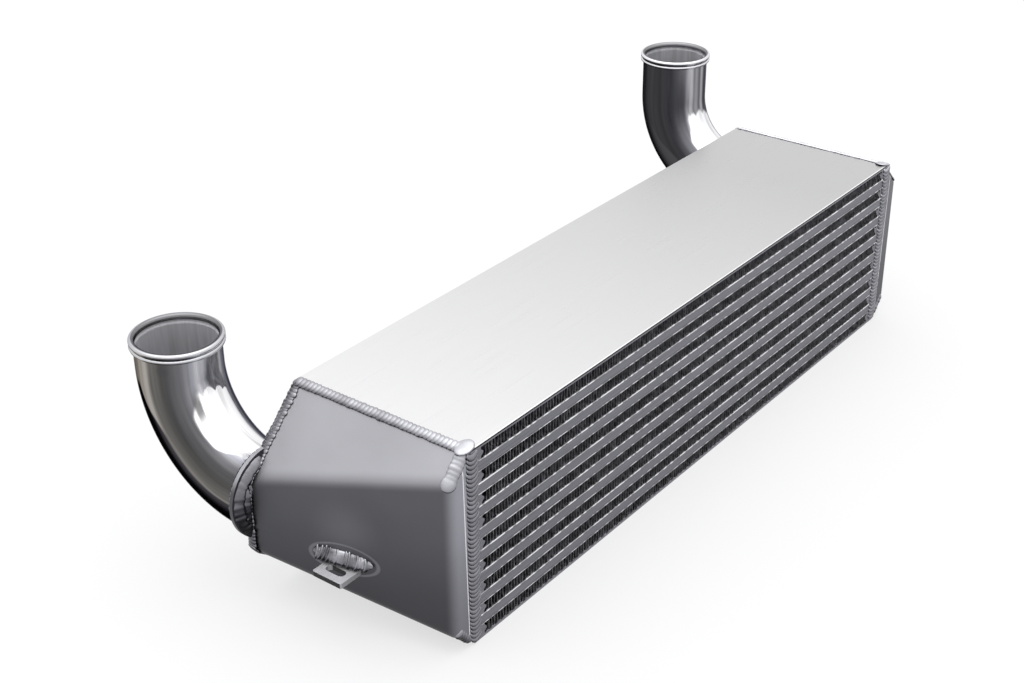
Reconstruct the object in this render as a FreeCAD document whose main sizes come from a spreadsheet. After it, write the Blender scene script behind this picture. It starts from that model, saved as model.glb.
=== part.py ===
import FreeCAD, Part
import math
import os
import Sketcher

# Bar and plate intercooler: a brazed core between two folded end tanks, each
# with a swept pipe at its back and a slotted mounting tab.
#
# Frame, in millimetres: the origin is the centre of the core's underside, X runs
# along the core from the near tank (-X) to the far tank (+X), the finned front
# faces -Y, the pipes stand at the back (+Y) and Z is up.

SIZES = (
    # Core
    ("core_length", 610.0),
    ("core_depth", 159.0),
    ("top_plate", 2.5),
    ("bottom_plate", 2.0),
    ("fin_rows", 9),
    ("fin_height", 9.1),
    ("bar_height", 8.0),
    ("bar_width", 9.0),
    ("bar_nose", 1.5),
    ("bar_edge", 0.6),
    ("sheet_thickness", 0.6),
    ("end_bar_width", 11.0),
    ("end_bar_nose", 2.4),
    ("end_bar_shoulder", 2.0),
    ("end_bar_tip", 1.5),
    ("fin_pitch", 6.6),
    ("fin_stock", 0.4),
    ("fin_inset", 1.2),
    ("turbulator_pitch", 17.0),
    ("turbulator_stock", 0.5),
    # End tanks: reach is measured outwards from the end of the core
    ("tank_front_reach", 20.7),
    ("tank_back_reach", 58.0),
    ("upper_slope", 1.0),
    ("lower_slope", 0.8),
    ("tank_sheet", 3.0),
    ("bend_radius", 9.0),
    ("strip_bend", 5.0),
    ("panel_thickness", 3.0),
    ("collar_radius", 36.0),
    # Pipes
    ("pipe_radius", 31.75),
    ("pipe_wall", 2.0),
    ("pipe_offset", 37.6),
    ("pipe_height", 86.6),
    ("elbow_radius", 77.0),
    ("near_root_length", 1.5),
    ("near_top_length", 24.0),
    ("far_root_length", 20.0),
    ("far_top_length", 43.0),
    ("lip_radius", 34.5),
    ("lip_roll", 1.9),
    ("bead_roll", 1.9),
    ("bead_drop", 5.9),
    ("groove_depth", 1.6),
    ("groove_roll", 1.7),
    # Mounting tabs
    ("tab_width", 27.0),
    ("tab_reach", 17.6),
    ("tab_thickness", 4.0),
    ("tab_centre", 4.5),
    ("tab_bottom", 50.0),
    ("tab_corner", 1.5),
    ("slot_width", 7.0),
    ("slot_length", 17.0),
    ("slot_inset", 9.8),
    # Weld beads
    ("weld_on_core", 7.0),
    ("weld_on_tank", 5.0),
    ("weld_crown", 1.4),
    ("top_weld_on_core", 3.5),
    ("top_weld_crown", 3.1),
    ("bottom_weld_crown", 0.7),
    ("pipe_weld_leg", 4.2),
    ("weld_gap", 0.2),
    ("tab_weld_length", 44.0),
    ("tab_weld_reach", 4.2),
    ("tab_weld_height", 8.0),
    ("tab_weld_round", 2.5),
)

NEAR = -1
FAR = 1
SIDE_NAMES = {NEAR: "near", FAR: "far"}
TOLERANCE = 0.01

# Lengths that several pieces share, as formulas on the sheet's values
TUBE = "(Sizes.bar_height + 2 * Sizes.sheet_thickness)"
PITCH = "(Sizes.fin_height + " + TUBE + ")"
CORE_HEIGHT = (
    "(Sizes.bottom_plate + Sizes.fin_rows * Sizes.fin_height"
    " + (Sizes.fin_rows - 1) * " + TUBE + " + Sizes.top_plate)"
)
APEX_REACH = "(" + CORE_HEIGHT + " / (Sizes.upper_slope + Sizes.lower_slope))"
WALL_SLANT = "((Sizes.tank_back_reach - Sizes.tank_front_reach) / Sizes.core_depth)"
SHELL_DEPTH = "(Sizes.core_depth - Sizes.panel_thickness)"
WELD_AT_PIPE = "(Sizes.pipe_offset - Sizes.pipe_radius - Sizes.pipe_weld_leg - Sizes.weld_gap)"

doc = FreeCAD.newDocument("intercooler")
sheet = doc.addObject("Spreadsheet::Sheet", "Sizes")
nodes = []


def fill_sheet():
    for row, (alias, size) in enumerate(SIZES, start=1):
        sheet.set("A%d" % row, alias)
        sheet.set("B%d" % row, str(size))
        sheet.setAlias("B%d" % row, alias)
    doc.recompute()


def value(formula):
    return float(sheet.evalExpression(formula))


def place(piece, **formulas):
    for axis, formula in formulas.items():
        piece.setExpression("Placement.Base." + axis, formula)


def node(piece, label):
    piece.Label = label
    nodes.append(piece)
    return piece


def sketch_on(body, name, role, offset=None):
    """An empty sketch on one of the body's own origin planes."""
    sketch = body.newObject("Sketcher::SketchObject", name)
    plane = [item for item in body.Origin.OriginFeatures if item.Role == role][0]
    sketch.AttachmentSupport = (plane, "")
    sketch.MapMode = "FlatFace"
    if offset:
        sketch.setExpression("AttachmentOffset.Base.z", offset)
    return sketch


def bind(sketch, kind, formula, *where):
    """A dimension whose size comes from a formula."""
    index = sketch.addConstraint(Sketcher.Constraint(kind, *where, value(formula)))
    sketch.setExpression("Constraints[%d]" % index, formula)


def draw_outline(sketch, corners):
    """A closed outline through the corners, drawn anticlockwise. A corner with a third
    value starts an arc of that radius, which bulges out; the others start a line."""
    points = [FreeCAD.Vector(value(corner[0]), value(corner[1]), 0) for corner in corners]
    following = points[1:] + points[:1]
    joins = []
    for index, corner in enumerate(corners):
        start, end = points[index], following[index]
        if len(corner) == 3:
            sketch.addGeometry(bulging_arc(start, end, value(corner[2])), False)
            joins.append((arc_end(sketch, index, start), arc_end(sketch, index, end)))
        else:
            sketch.addGeometry(Part.LineSegment(start, end), False)
            joins.append((1, 2))
    for index, corner in enumerate(corners):
        after = (index + 1) % len(corners)
        sketch.addConstraint(
            Sketcher.Constraint("Coincident", index, joins[index][1], after, joins[after][0])
        )
        bind(sketch, "DistanceX", corner[0], -1, 1, index, joins[index][0])
        bind(sketch, "DistanceY", corner[1], -1, 1, index, joins[index][0])
        if len(corner) == 3:
            bind(sketch, "Radius", corner[2], index)


def bulging_arc(start, end, radius):
    """The arc of less than half a turn that leaves the outline's body on its left."""
    chord = end - start
    middle = (start + end) * 0.5
    right = FreeCAD.Vector(chord.y, -chord.x, 0).normalize()
    depth = math.sqrt(max(radius ** 2 - chord.Length ** 2 / 4, 0))
    crown = middle + right * (radius - depth)
    return Part.Arc(start, crown, end)


def arc_end(sketch, index, point):
    """Which end of the arc, 1 or 2, lies at the point."""
    arc = sketch.Geometry[index]
    return 1 if (arc.StartPoint - point).Length < (arc.EndPoint - point).Length else 2


def pad(body, name, sketch, length, symmetric=False, reverse=False):
    feature = body.newObject("PartDesign::Pad", name)
    feature.Profile = sketch
    feature.setExpression("Length", length)
    if symmetric:
        feature.SideType = "Symmetric"
    feature.Reversed = reverse
    return feature


def cut_through(body, name, sketch):
    """A pocket right through the body, checked by its volume."""
    doc.recompute()
    before = body.Shape.Volume
    feature = body.newObject("PartDesign::Pocket", name)
    feature.Profile = sketch
    feature.Type = "ThroughAll"
    feature.SideType = "Symmetric"
    doc.recompute()
    if not body.Shape.Volume < before:
        raise ValueError(name + " cuts nothing")
    return feature


def fillet(body, name, base, radius, wanted):
    """Rounds each edge of the base that the wanted test picks."""
    doc.recompute()
    edges = [
        "Edge%d" % number
        for number, edge in enumerate(base.Shape.Edges, start=1)
        if wanted(edge)
    ]
    if not edges:
        raise ValueError(name + " finds no edge")
    feature = body.newObject("PartDesign::Fillet", name)
    feature.Base = (base, edges)
    feature.setExpression("Radius", radius)
    return feature


def ends(edge):
    return [vertex.Point for vertex in edge.Vertexes]


def is_along(edge, axis):
    points = ends(edge)
    if len(points) != 2:
        return False
    direction = (points[1] - points[0]).normalize()
    return abs(direction.dot(axis)) > 0.999


def signed(side, formula):
    return formula if side > 0 else "-(" + formula + ")"


def wall_reach(y):
    """How far the tank's outer wall stands from the core's end, at y."""
    return "(Sizes.tank_front_reach + " + WALL_SLANT + " * (" + y + " + Sizes.core_depth / 2))"


def flat_plate(label, thickness, height):
    plate = doc.addObject("Part::Box", label)
    plate.setExpression("Length", "Sizes.core_length")
    plate.setExpression("Width", "Sizes.core_depth")
    plate.setExpression("Height", thickness)
    place(plate, x="-Sizes.core_length / 2", y="-Sizes.core_depth / 2", z=height)
    return plate


def fin_row_bottom(row):
    return "(Sizes.bottom_plate + %d * %s)" % (row, PITCH)


def tube_bottom(row):
    """Underside of the parting sheet below tube number row, counted from 0."""
    return "(Sizes.bottom_plate + Sizes.fin_height + %d * %s)" % (row, PITCH)


def make_core_plates():
    node(flat_plate("bottom_plate_piece", "Sizes.bottom_plate", "0"), "core_bottom_plate")
    top = CORE_HEIGHT + " - Sizes.top_plate"
    node(flat_plate("top_plate_piece", "Sizes.top_plate", top), "core_top_plate")


def make_parting_sheets(row):
    """The two thin sheets that close one charge air tube above and below."""
    upper = tube_bottom(row) + " + Sizes.sheet_thickness + Sizes.bar_height"
    sheets = [
        flat_plate("lower_sheet_%d" % row, "Sizes.sheet_thickness", tube_bottom(row)),
        flat_plate("upper_sheet_%d" % row, "Sizes.sheet_thickness", upper),
    ]
    pair = doc.addObject("Part::Compound", "sheets_%d" % row)
    pair.Links = sheets
    node(pair, "parting_sheets_%d" % (row + 1))


def make_tube_bar(row, facing, label):
    """A long bar that closes a tube at the front (-1) or the back (+1)."""
    body = doc.addObject("PartDesign::Body", label)
    section = sketch_on(body, label + "_section", "YZ_Plane")
    inner = signed(-facing, "Sizes.bar_width")
    nose = signed(-facing, "Sizes.bar_width + Sizes.bar_nose")
    corners = [
        ("0", "0"),
        (inner, "0"),
        (nose, "Sizes.bar_height / 2"),
        (inner, "Sizes.bar_height"),
        ("0", "Sizes.bar_height"),
    ]
    draw_outline(section, corners)
    bar = pad(body, label + "_pad", section, "Sizes.core_length", symmetric=True)
    x_axis = FreeCAD.Vector(1, 0, 0)
    fillet(
        body, label + "_edges", bar, "Sizes.bar_edge",
        lambda edge: is_along(edge, x_axis) and abs(ends(edge)[0].y) < TOLERANCE,
    )
    place(
        body,
        y=signed(facing, "Sizes.core_depth / 2"),
        z=tube_bottom(row) + " + Sizes.sheet_thickness",
    )
    node(body, label)


def make_end_bars(side):
    """The short bars that close the fin rows beside a tank, each with a blunt nose."""
    bars = []
    for row in range(round(value("Sizes.fin_rows"))):
        name = "%s_end_bar_%d" % (SIDE_NAMES[side], row)
        body = doc.addObject("PartDesign::Body", name)
        section = sketch_on(body, name + "_section", "XZ_Plane")
        inner = signed(-side, "Sizes.end_bar_width")
        nose = signed(-side, "Sizes.end_bar_width + Sizes.end_bar_nose")
        corners = [
            ("0", "0"),
            (inner, "0"),
            (inner, "Sizes.end_bar_shoulder"),
            (nose, "(Sizes.fin_height - Sizes.end_bar_tip) / 2"),
            (nose, "(Sizes.fin_height + Sizes.end_bar_tip) / 2"),
            (inner, "Sizes.fin_height - Sizes.end_bar_shoulder"),
            (inner, "Sizes.fin_height"),
            ("0", "Sizes.fin_height"),
        ]
        draw_outline(section, corners)
        pad(body, name + "_pad", section, "Sizes.core_depth", symmetric=True)
        place(body, x=signed(side, "Sizes.core_length / 2"), z=fin_row_bottom(row))
        bars.append(body)
    stack = doc.addObject("Part::Compound", SIDE_NAMES[side] + "_end_bar_stack")
    stack.Links = bars
    node(stack, SIDE_NAMES[side] + "_end_bars")


def corrugated_strip(span, height, pitch, stock, run):
    """A zigzag strip along X, centred, its crests at 0 and height, pushed along Y."""
    folds = 2 * max(round(span / pitch), 1)
    step = span / folds
    rise = stock * math.hypot(1, height / step)
    stations = range(folds + 1)
    below = [
        FreeCAD.Vector(-span / 2 + step * k, -run / 2, (height - rise) * (k % 2))
        for k in stations
    ]
    above = [point + FreeCAD.Vector(0, 0, rise) for point in reversed(below)]
    face = Part.Face(Part.makePolygon(below + above + below[:1]))
    return face.extrude(FreeCAD.Vector(0, run, 0))


def make_air_fins():
    """Nine equal fin strips, whose passages run from the front to the back."""
    nose = value("Sizes.end_bar_width + Sizes.end_bar_nose")
    span = value("Sizes.core_length") - 2 * nose
    run = value("Sizes.core_depth - 2 * Sizes.fin_inset")
    strip = corrugated_strip(
        span, value("Sizes.fin_height"), value("Sizes.fin_pitch"),
        value("Sizes.fin_stock"), run,
    )
    for row in range(round(value("Sizes.fin_rows"))):
        fin = doc.addObject("Part::Feature", "fin_strip_%d" % row)
        fin.Shape = strip.copy()
        fin.Placement.Base.z = value(fin_row_bottom(row))
        node(fin, "air_fins_%d" % (row + 1))


def make_turbulators():
    """The inner fins of the tubes, whose passages run from tank to tank."""
    span = value("Sizes.core_depth - 2 * (Sizes.bar_width + Sizes.bar_nose)")
    strip = corrugated_strip(
        span, value("Sizes.bar_height"), value("Sizes.turbulator_pitch"),
        value("Sizes.turbulator_stock"), value("Sizes.core_length"),
    )
    quarter_turn = FreeCAD.Rotation(FreeCAD.Vector(0, 0, 1), 90)
    for row in range(round(value("Sizes.fin_rows")) - 1):
        height = value(tube_bottom(row) + " + Sizes.sheet_thickness")
        fin = doc.addObject("Part::Feature", "turbulator_strip_%d" % row)
        fin.Shape = strip.copy()
        fin.Placement = FreeCAD.Placement(FreeCAD.Vector(0, 0, height), quarter_turn)
        node(fin, "turbulator_%d" % (row + 1))


def make_tank(side):
    """A tank folded from sheet: two sloping panels, the slanted outer wall and the
    front strip. It is open to the core and at the back."""
    name = SIDE_NAMES[side] + "_tank"
    body = doc.addObject("PartDesign::Body", name)
    slopes = sketch_on(body, name + "_slopes", "XZ_Plane")
    apex = (signed(side, APEX_REACH), "Sizes.lower_slope * " + APEX_REACH)
    draw_outline(slopes, [("0", "0"), apex, ("0", CORE_HEIGHT)])
    block = pad(body, name + "_block", slopes, SHELL_DEPTH, symmetric=True)

    wall = sketch_on(body, name + "_wall", "XY_Plane")
    middle = "(Sizes.panel_thickness / 2)"
    front = "(-Sizes.core_depth)"
    back = "Sizes.core_depth"
    beyond = signed(side, "2 * " + CORE_HEIGHT)
    corners = [
        (signed(side, wall_reach(front)), front + " + " + middle),
        (beyond, front + " + " + middle),
        (beyond, back + " + " + middle),
        (signed(side, wall_reach(back)), back + " + " + middle),
    ]
    draw_outline(wall, corners)
    trimmed = cut_through(body, name + "_trim", wall)

    def is_bend(edge):
        first, last = ends(edge)
        run = last - first
        return min(abs(run.x), abs(run.y), abs(run.z)) > TOLERANCE

    bends = fillet(body, name + "_bends", trimmed, "Sizes.bend_radius", is_bend)
    doc.recompute()
    upright = FreeCAD.Vector(0, 0, 1)
    foremost = -value(SHELL_DEPTH) / 2

    def is_strip_bend(edge):
        point = ends(edge)[0]
        at_front = abs(point.y - foremost) < TOLERANCE
        return is_along(edge, upright) and abs(point.x) > TOLERANCE and at_front

    folded = fillet(body, name + "_strip_bend", bends, "Sizes.strip_bend", is_strip_bend)
    doc.recompute()
    rearmost = value(SHELL_DEPTH) / 2

    def is_open(face):
        middle = face.CenterOfMass
        return abs(middle.x) < TOLERANCE or abs(middle.y - rearmost) < TOLERANCE

    open_faces = [
        "Face%d" % number
        for number, face in enumerate(folded.Shape.Faces, start=1)
        if is_open(face)
    ]
    shell = body.newObject("PartDesign::Thickness", name + "_sheet")
    shell.Base = (folded, open_faces)
    shell.setExpression("Value", "Sizes.tank_sheet")
    shell.Reversed = True
    shell.Join = "Intersection"
    place(
        body,
        x=signed(side, "Sizes.core_length / 2"),
        y="-Sizes.panel_thickness / 2",
    )
    node(body, name)


def make_back_panel(side):
    """The flat plate that closes a tank's back, with a round lobe about the pipe."""
    name = SIDE_NAMES[side] + "_back_panel"
    body = doc.addObject("PartDesign::Body", name)
    outline = sketch_on(body, name + "_outline", "XZ_Plane")
    reach = signed(side, "Sizes.tank_back_reach")
    corners = [
        ("0", "0"),
        (reach, "Sizes.lower_slope * Sizes.tank_back_reach"),
        (reach, CORE_HEIGHT + " - Sizes.upper_slope * Sizes.tank_back_reach"),
        ("0", CORE_HEIGHT),
    ]
    draw_outline(outline, corners)
    plate = pad(body, name + "_plate", outline, "Sizes.panel_thickness")
    across = FreeCAD.Vector(0, 1, 0)
    fillet(
        body, name + "_corners", plate, "Sizes.bend_radius",
        lambda edge: is_along(edge, across) and abs(ends(edge)[0].x) > TOLERANCE,
    )
    centre = (signed(side, "Sizes.pipe_offset"), "Sizes.pipe_height")
    lobe = sketch_on(body, name + "_lobe", "XZ_Plane")
    draw_ring(lobe, *centre, ["Sizes.collar_radius"])
    pad(body, name + "_collar", lobe, "Sizes.panel_thickness")
    hole = sketch_on(body, name + "_hole", "XZ_Plane")
    draw_ring(hole, *centre, ["Sizes.pipe_radius - Sizes.pipe_wall"])
    cut_through(body, name + "_opening", hole)
    place(body, x=signed(side, "Sizes.core_length / 2"), y="Sizes.core_depth / 2")
    node(body, name)


def draw_ring(sketch, x, y, radii):
    """One or more circles about one centre."""
    centre = FreeCAD.Vector(value(x), value(y), 0)
    for radius in radii:
        circle = Part.Circle(centre, FreeCAD.Vector(0, 0, 1), value(radius))
        index = sketch.addGeometry(circle, False)
        bind(sketch, "Radius", radius, index)
        bind(sketch, "DistanceX", x, -1, 1, index, 3)
        bind(sketch, "DistanceY", y, -1, 1, index, 3)


def draw_axis(sketch, x, y, direction, formula):
    """A construction line through a point, along the sketch's X or Y."""
    foot = FreeCAD.Vector(value(x), value(y), 0)
    index = sketch.addGeometry(Part.LineSegment(foot, foot + direction * value(formula)), True)
    lies = "Horizontal" if direction.x else "Vertical"
    sketch.addConstraint(Sketcher.Constraint(lies, index))
    bind(sketch, "DistanceX", x, -1, 1, index, 1)
    bind(sketch, "DistanceY", y, -1, 1, index, 1)
    length = "DistanceX" if direction.x else "DistanceY"
    bind(sketch, length, formula, index, 1, index, 2)


def turn_about_axis(body, name, sketch, angle):
    """Revolves the sketch about its own construction line."""
    feature = body.newObject("PartDesign::Revolution", name)
    feature.Profile = sketch
    feature.ReferenceAxis = (sketch, ["Axis0"])
    feature.Angle = angle
    doc.recompute()
    return feature


def rim_outline(axis, rim):
    """Half section of a pipe's upright end: plain wall, hose bead, which leaves a groove
    in the bore, and rolled lip."""
    inner = axis + " + Sizes.pipe_radius - Sizes.pipe_wall"
    outer = axis + " + Sizes.pipe_radius"
    crest = axis + " + Sizes.lip_radius"
    bead = rim + " - Sizes.bead_drop"
    bulge = "(Sizes.lip_radius - Sizes.pipe_radius)"
    ledge = "(Sizes.lip_radius - Sizes.lip_roll - Sizes.pipe_radius + Sizes.pipe_wall)"
    bead_arc = three_point_radius(bulge, "Sizes.bead_roll")
    return [
        (inner, "Sizes.elbow_radius"),
        (outer, "Sizes.elbow_radius"),
        (outer, bead + " - Sizes.bead_roll", bead_arc),
        (crest, bead, bead_arc),
        (outer, bead + " + Sizes.bead_roll"),
        (outer, rim + " - 2 * Sizes.lip_roll", three_point_radius(bulge, "Sizes.lip_roll")),
        (crest, rim + " - Sizes.lip_roll", "Sizes.lip_roll"),
        (crest + " - Sizes.lip_roll", rim, three_point_radius("Sizes.lip_roll", ledge)),
        (inner, rim + " - Sizes.lip_roll"),
        (inner, bead + " + Sizes.groove_roll"),
        (inner + " + Sizes.groove_depth", bead),
        (inner, bead + " - Sizes.groove_roll"),
    ]


def three_point_radius(height, half_width):
    """Radius of the circle through a crest and two feet below it."""
    return "(((%s) ^ 2 + (%s) ^ 2) / (2 * (%s)))" % (height, half_width, height)


def make_pipe(side):
    """A mandrel bent pipe with a rolled lip and a hose bead at its open end: a short
    root out of the back panel, a quarter bend and an upright end."""
    word = SIDE_NAMES[side]
    name = word + "_pipe"
    root = "Sizes.%s_root_length" % word
    top = "Sizes.%s_top_length" % word
    wall = ("Sizes.pipe_radius", "Sizes.pipe_radius - Sizes.pipe_wall")
    along_x = FreeCAD.Vector(1, 0, 0)
    along_y = FreeCAD.Vector(0, 1, 0)
    body = doc.addObject("PartDesign::Body", name)

    root_section = sketch_on(body, name + "_root_section", "XZ_Plane")
    draw_ring(root_section, "0", "0", wall)
    pad(body, name + "_root", root_section, root, reverse=True)

    bend_section = sketch_on(body, name + "_bend_section", "XZ_Plane", "-" + root)
    draw_ring(bend_section, "0", "0", wall)
    draw_axis(bend_section, "0", "Sizes.elbow_radius", along_x, "Sizes.pipe_radius")
    turn_about_axis(body, name + "_bend", bend_section, 90)

    axis = root + " + Sizes.elbow_radius"
    rim = "Sizes.elbow_radius + " + top
    end_section = sketch_on(body, name + "_end_section", "YZ_Plane")
    draw_outline(end_section, rim_outline(axis, rim))
    draw_axis(end_section, axis, "0", along_y, "Sizes.elbow_radius")
    turn_about_axis(body, name + "_end", end_section, 360)

    place(
        body,
        x=signed(side, "Sizes.core_length / 2 + Sizes.pipe_offset"),
        y="Sizes.core_depth / 2",
        z="Sizes.pipe_height",
    )
    node(body, name)


def make_tab(side):
    """The slotted tab that stands out of a tank's outer wall."""
    name = SIDE_NAMES[side] + "_tab"
    body = doc.addObject("PartDesign::Body", name)
    front = "(Sizes.tab_centre - Sizes.tab_width / 2)"
    back = "(Sizes.tab_centre + Sizes.tab_width / 2)"
    outer = "(" + wall_reach("Sizes.tab_centre") + " + Sizes.tab_reach)"
    outline = sketch_on(body, name + "_outline", "XY_Plane")
    corners = [
        (signed(side, wall_reach(front)), front),
        (signed(side, outer), front),
        (signed(side, outer), back),
        (signed(side, wall_reach(back)), back),
    ]
    draw_outline(outline, corners)
    plate = pad(body, name + "_plate", outline, "Sizes.tab_thickness")
    upright = FreeCAD.Vector(0, 0, 1)
    tip = value(outer) - TOLERANCE
    fillet(
        body, name + "_corners", plate, "Sizes.tab_corner",
        lambda edge: is_along(edge, upright) and abs(ends(edge)[0].x) > tip,
    )
    slot = sketch_on(body, name + "_slot", "XY_Plane")
    draw_slot(slot, signed(side, outer + " - Sizes.slot_inset"), "Sizes.tab_centre")
    cut_through(body, name + "_slot_cut", slot)
    place(body, x=signed(side, "Sizes.core_length / 2"), z="Sizes.tab_bottom")
    node(body, name)


def draw_slot(sketch, centre_x, centre_y):
    """A round-ended slot along Y."""
    radius = "(Sizes.slot_width / 2)"
    half = "((Sizes.slot_length - Sizes.slot_width) / 2)"
    up = FreeCAD.Vector(0, 0, 1)
    ends_y = (centre_y + " - " + half, centre_y + " + " + half)
    turns = ((math.pi, 2 * math.pi), (0, math.pi))
    for end_y, (start, stop) in zip(ends_y, turns):
        centre = FreeCAD.Vector(value(centre_x), value(end_y), 0)
        circle = Part.Circle(centre, up, value(radius))
        sketch.addGeometry(Part.ArcOfCircle(circle, start, stop), False)
    lower, upper = sketch.Geometry
    sketch.addGeometry(Part.LineSegment(lower.EndPoint, upper.StartPoint), False)
    sketch.addGeometry(Part.LineSegment(upper.EndPoint, lower.StartPoint), False)
    for first, second in ((0, 2), (2, 1), (1, 3), (3, 0)):
        sketch.addConstraint(Sketcher.Constraint("Tangent", first, 2, second, 1))
    bind(sketch, "Radius", radius, 0)
    for index, end_y in enumerate(ends_y):
        bind(sketch, "DistanceX", centre_x, -1, 1, index, 3)
        bind(sketch, "DistanceY", end_y, -1, 1, index, 3)


def bead_radius(chord, crown):
    """Radius of the arc that stands crown high over a chord."""
    return three_point_radius(crown, chord + " / 2")


def arc_from_last(corners, radius):
    """The corners, with an arc of that radius back from the last to the first."""
    return corners[:-1] + [corners[-1] + (radius,)]


def make_core_weld(side):
    """The four beads round the joint of the core and a tank."""
    beads = [
        make_upright_bead(side, -1, "front", "Sizes.weld_on_tank"),
        make_upright_bead(side, 1, "back", WELD_AT_PIPE),
        make_top_bead(side),
        make_bottom_bead(side),
    ]
    ring = doc.addObject("Part::Compound", SIDE_NAMES[side] + "_core_beads")
    ring.Links = beads
    node(ring, SIDE_NAMES[side] + "_core_weld")


def make_upright_bead(side, facing, place_word, overlap):
    """A bead up the core's front (-1) or back (+1), half on the core, half on the tank."""
    name = "%s_%s_bead" % (SIDE_NAMES[side], place_word)
    body = doc.addObject("PartDesign::Body", name)
    section = sketch_on(body, name + "_section", "XY_Plane")
    wall = signed(facing, "Sizes.core_depth / 2")
    chord = [(signed(-side, "Sizes.weld_on_core"), wall), (signed(side, overlap), wall)]
    if side * facing < 0:
        chord.reverse()
    crown = bead_radius("(Sizes.weld_on_core + %s)" % overlap, "Sizes.weld_crown")
    draw_outline(section, arc_from_last(chord, crown))
    pad(body, name + "_pad", section, CORE_HEIGHT)
    place(body, x=signed(side, "Sizes.core_length / 2"))
    return body


def make_top_bead(side):
    """The bead over the edge of the core's top plate and the tank's upper slope."""
    drop = "Sizes.upper_slope * Sizes.weld_on_tank"
    corners = [
        (signed(-side, "Sizes.top_weld_on_core"), CORE_HEIGHT),
        ("0", CORE_HEIGHT),
        (signed(side, "Sizes.weld_on_tank"), CORE_HEIGHT + " - " + drop),
    ]
    chord = "hypot(Sizes.top_weld_on_core + Sizes.weld_on_tank; %s)" % drop
    return cross_bead(side, "top", corners, chord, "Sizes.top_weld_crown", side < 0)


def make_bottom_bead(side):
    """The bead in the angle of the core's underside and the tank's lower slope."""
    rise = "Sizes.lower_slope * Sizes.weld_on_tank"
    corners = [("0", "0"), (signed(side, "Sizes.weld_on_tank"), rise)]
    chord = "hypot(Sizes.weld_on_tank; %s)" % rise
    return cross_bead(side, "bottom", corners, chord, "Sizes.bottom_weld_crown", side > 0)


def cross_bead(side, place_word, corners, chord, crown, is_clockwise):
    """A bead that runs from the core's front to its back."""
    name = "%s_%s_bead" % (SIDE_NAMES[side], place_word)
    body = doc.addObject("PartDesign::Body", name)
    section = sketch_on(body, name + "_section", "XZ_Plane")
    if is_clockwise:
        corners.reverse()
    draw_outline(section, arc_from_last(corners, bead_radius(chord, crown)))
    pad(body, name + "_pad", section, "Sizes.core_depth", symmetric=True)
    place(body, x=signed(side, "Sizes.core_length / 2"))
    return body


def make_pipe_weld(side):
    """The fillet bead between a pipe's root and the back panel."""
    name = SIDE_NAMES[side] + "_pipe_bead"
    body = doc.addObject("PartDesign::Body", name)
    section = sketch_on(body, name + "_section", "XY_Plane")
    corners = [
        ("Sizes.pipe_radius", "Sizes.pipe_weld_leg"),
        ("Sizes.pipe_radius", "0"),
        ("Sizes.pipe_radius + Sizes.pipe_weld_leg", "0"),
    ]
    draw_outline(section, corners)
    turned = body.newObject("PartDesign::Revolution", name + "_ring")
    turned.Profile = section
    turned.ReferenceAxis = (section, ["V_Axis"])
    turned.Angle = 360
    place(
        body,
        x=signed(side, "Sizes.core_length / 2 + Sizes.pipe_offset"),
        y="Sizes.core_depth / 2",
        z="Sizes.pipe_height",
    )
    node(body, SIDE_NAMES[side] + "_pipe_weld")


def make_tab_weld(side):
    """The heavy bead along the top of a tab, which runs on past both its ends."""
    name = SIDE_NAMES[side] + "_tab_bead"
    body = doc.addObject("PartDesign::Body", name)
    front = "(Sizes.tab_centre - Sizes.tab_weld_length / 2)"
    back = "(Sizes.tab_centre + Sizes.tab_weld_length / 2)"
    section = sketch_on(body, name + "_section", "XY_Plane")
    corners = [
        (signed(side, wall_reach(front)), front),
        (signed(side, wall_reach(back)), back),
    ]
    if side > 0:
        corners.reverse()
    crown = bead_radius("Sizes.tab_weld_length", "Sizes.tab_weld_reach")
    draw_outline(section, arc_from_last(corners, crown))
    ridge = pad(body, name + "_ridge", section, "Sizes.tab_weld_height")
    top = value("Sizes.tab_weld_height")

    def is_crest(edge):
        curved = not isinstance(edge.Curve, Part.Line)
        return curved and all(abs(point.z - top) < 0.01 for point in ends(edge))

    fillet(body, name + "_round", ridge, "Sizes.tab_weld_round", is_crest)
    place(
        body,
        x=signed(side, "Sizes.core_length / 2"),
        z="Sizes.tab_bottom + Sizes.tab_thickness",
    )
    node(body, SIDE_NAMES[side] + "_tab_weld")


def check_document():
    for item in doc.Objects:
        if "Invalid" in item.State or "Error" in item.State:
            raise ValueError(item.Label + " failed to recompute")
    for piece in nodes:
        if piece.Shape.isNull() or not piece.Shape.isValid():
            raise ValueError(piece.Label + " has no valid shape")


def write_nodes():
    os.makedirs("parts", exist_ok=True)
    for piece in nodes:
        piece.Shape.exportStep(os.path.join("parts", piece.Label + ".step"))


fill_sheet()
make_core_plates()
for tube in range(round(value("Sizes.fin_rows")) - 1):
    make_parting_sheets(tube)
    make_tube_bar(tube, -1, "front_bar_%d" % (tube + 1))
    make_tube_bar(tube, 1, "rear_bar_%d" % (tube + 1))
make_air_fins()
make_turbulators()
for tank_side in (NEAR, FAR):
    make_end_bars(tank_side)
    make_tank(tank_side)
    make_back_panel(tank_side)
    make_pipe(tank_side)
    make_tab(tank_side)
    make_core_weld(tank_side)
    make_pipe_weld(tank_side)
    make_tab_weld(tank_side)
doc.recompute()
check_document()
write_nodes()
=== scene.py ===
"""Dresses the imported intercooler: polished pipes, dense air fins, rippled weld beads,
the finishes of its sheet metal, and a plain soft studio round it."""

import math
import random

import bpy
from mathutils import Matrix, Vector


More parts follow.
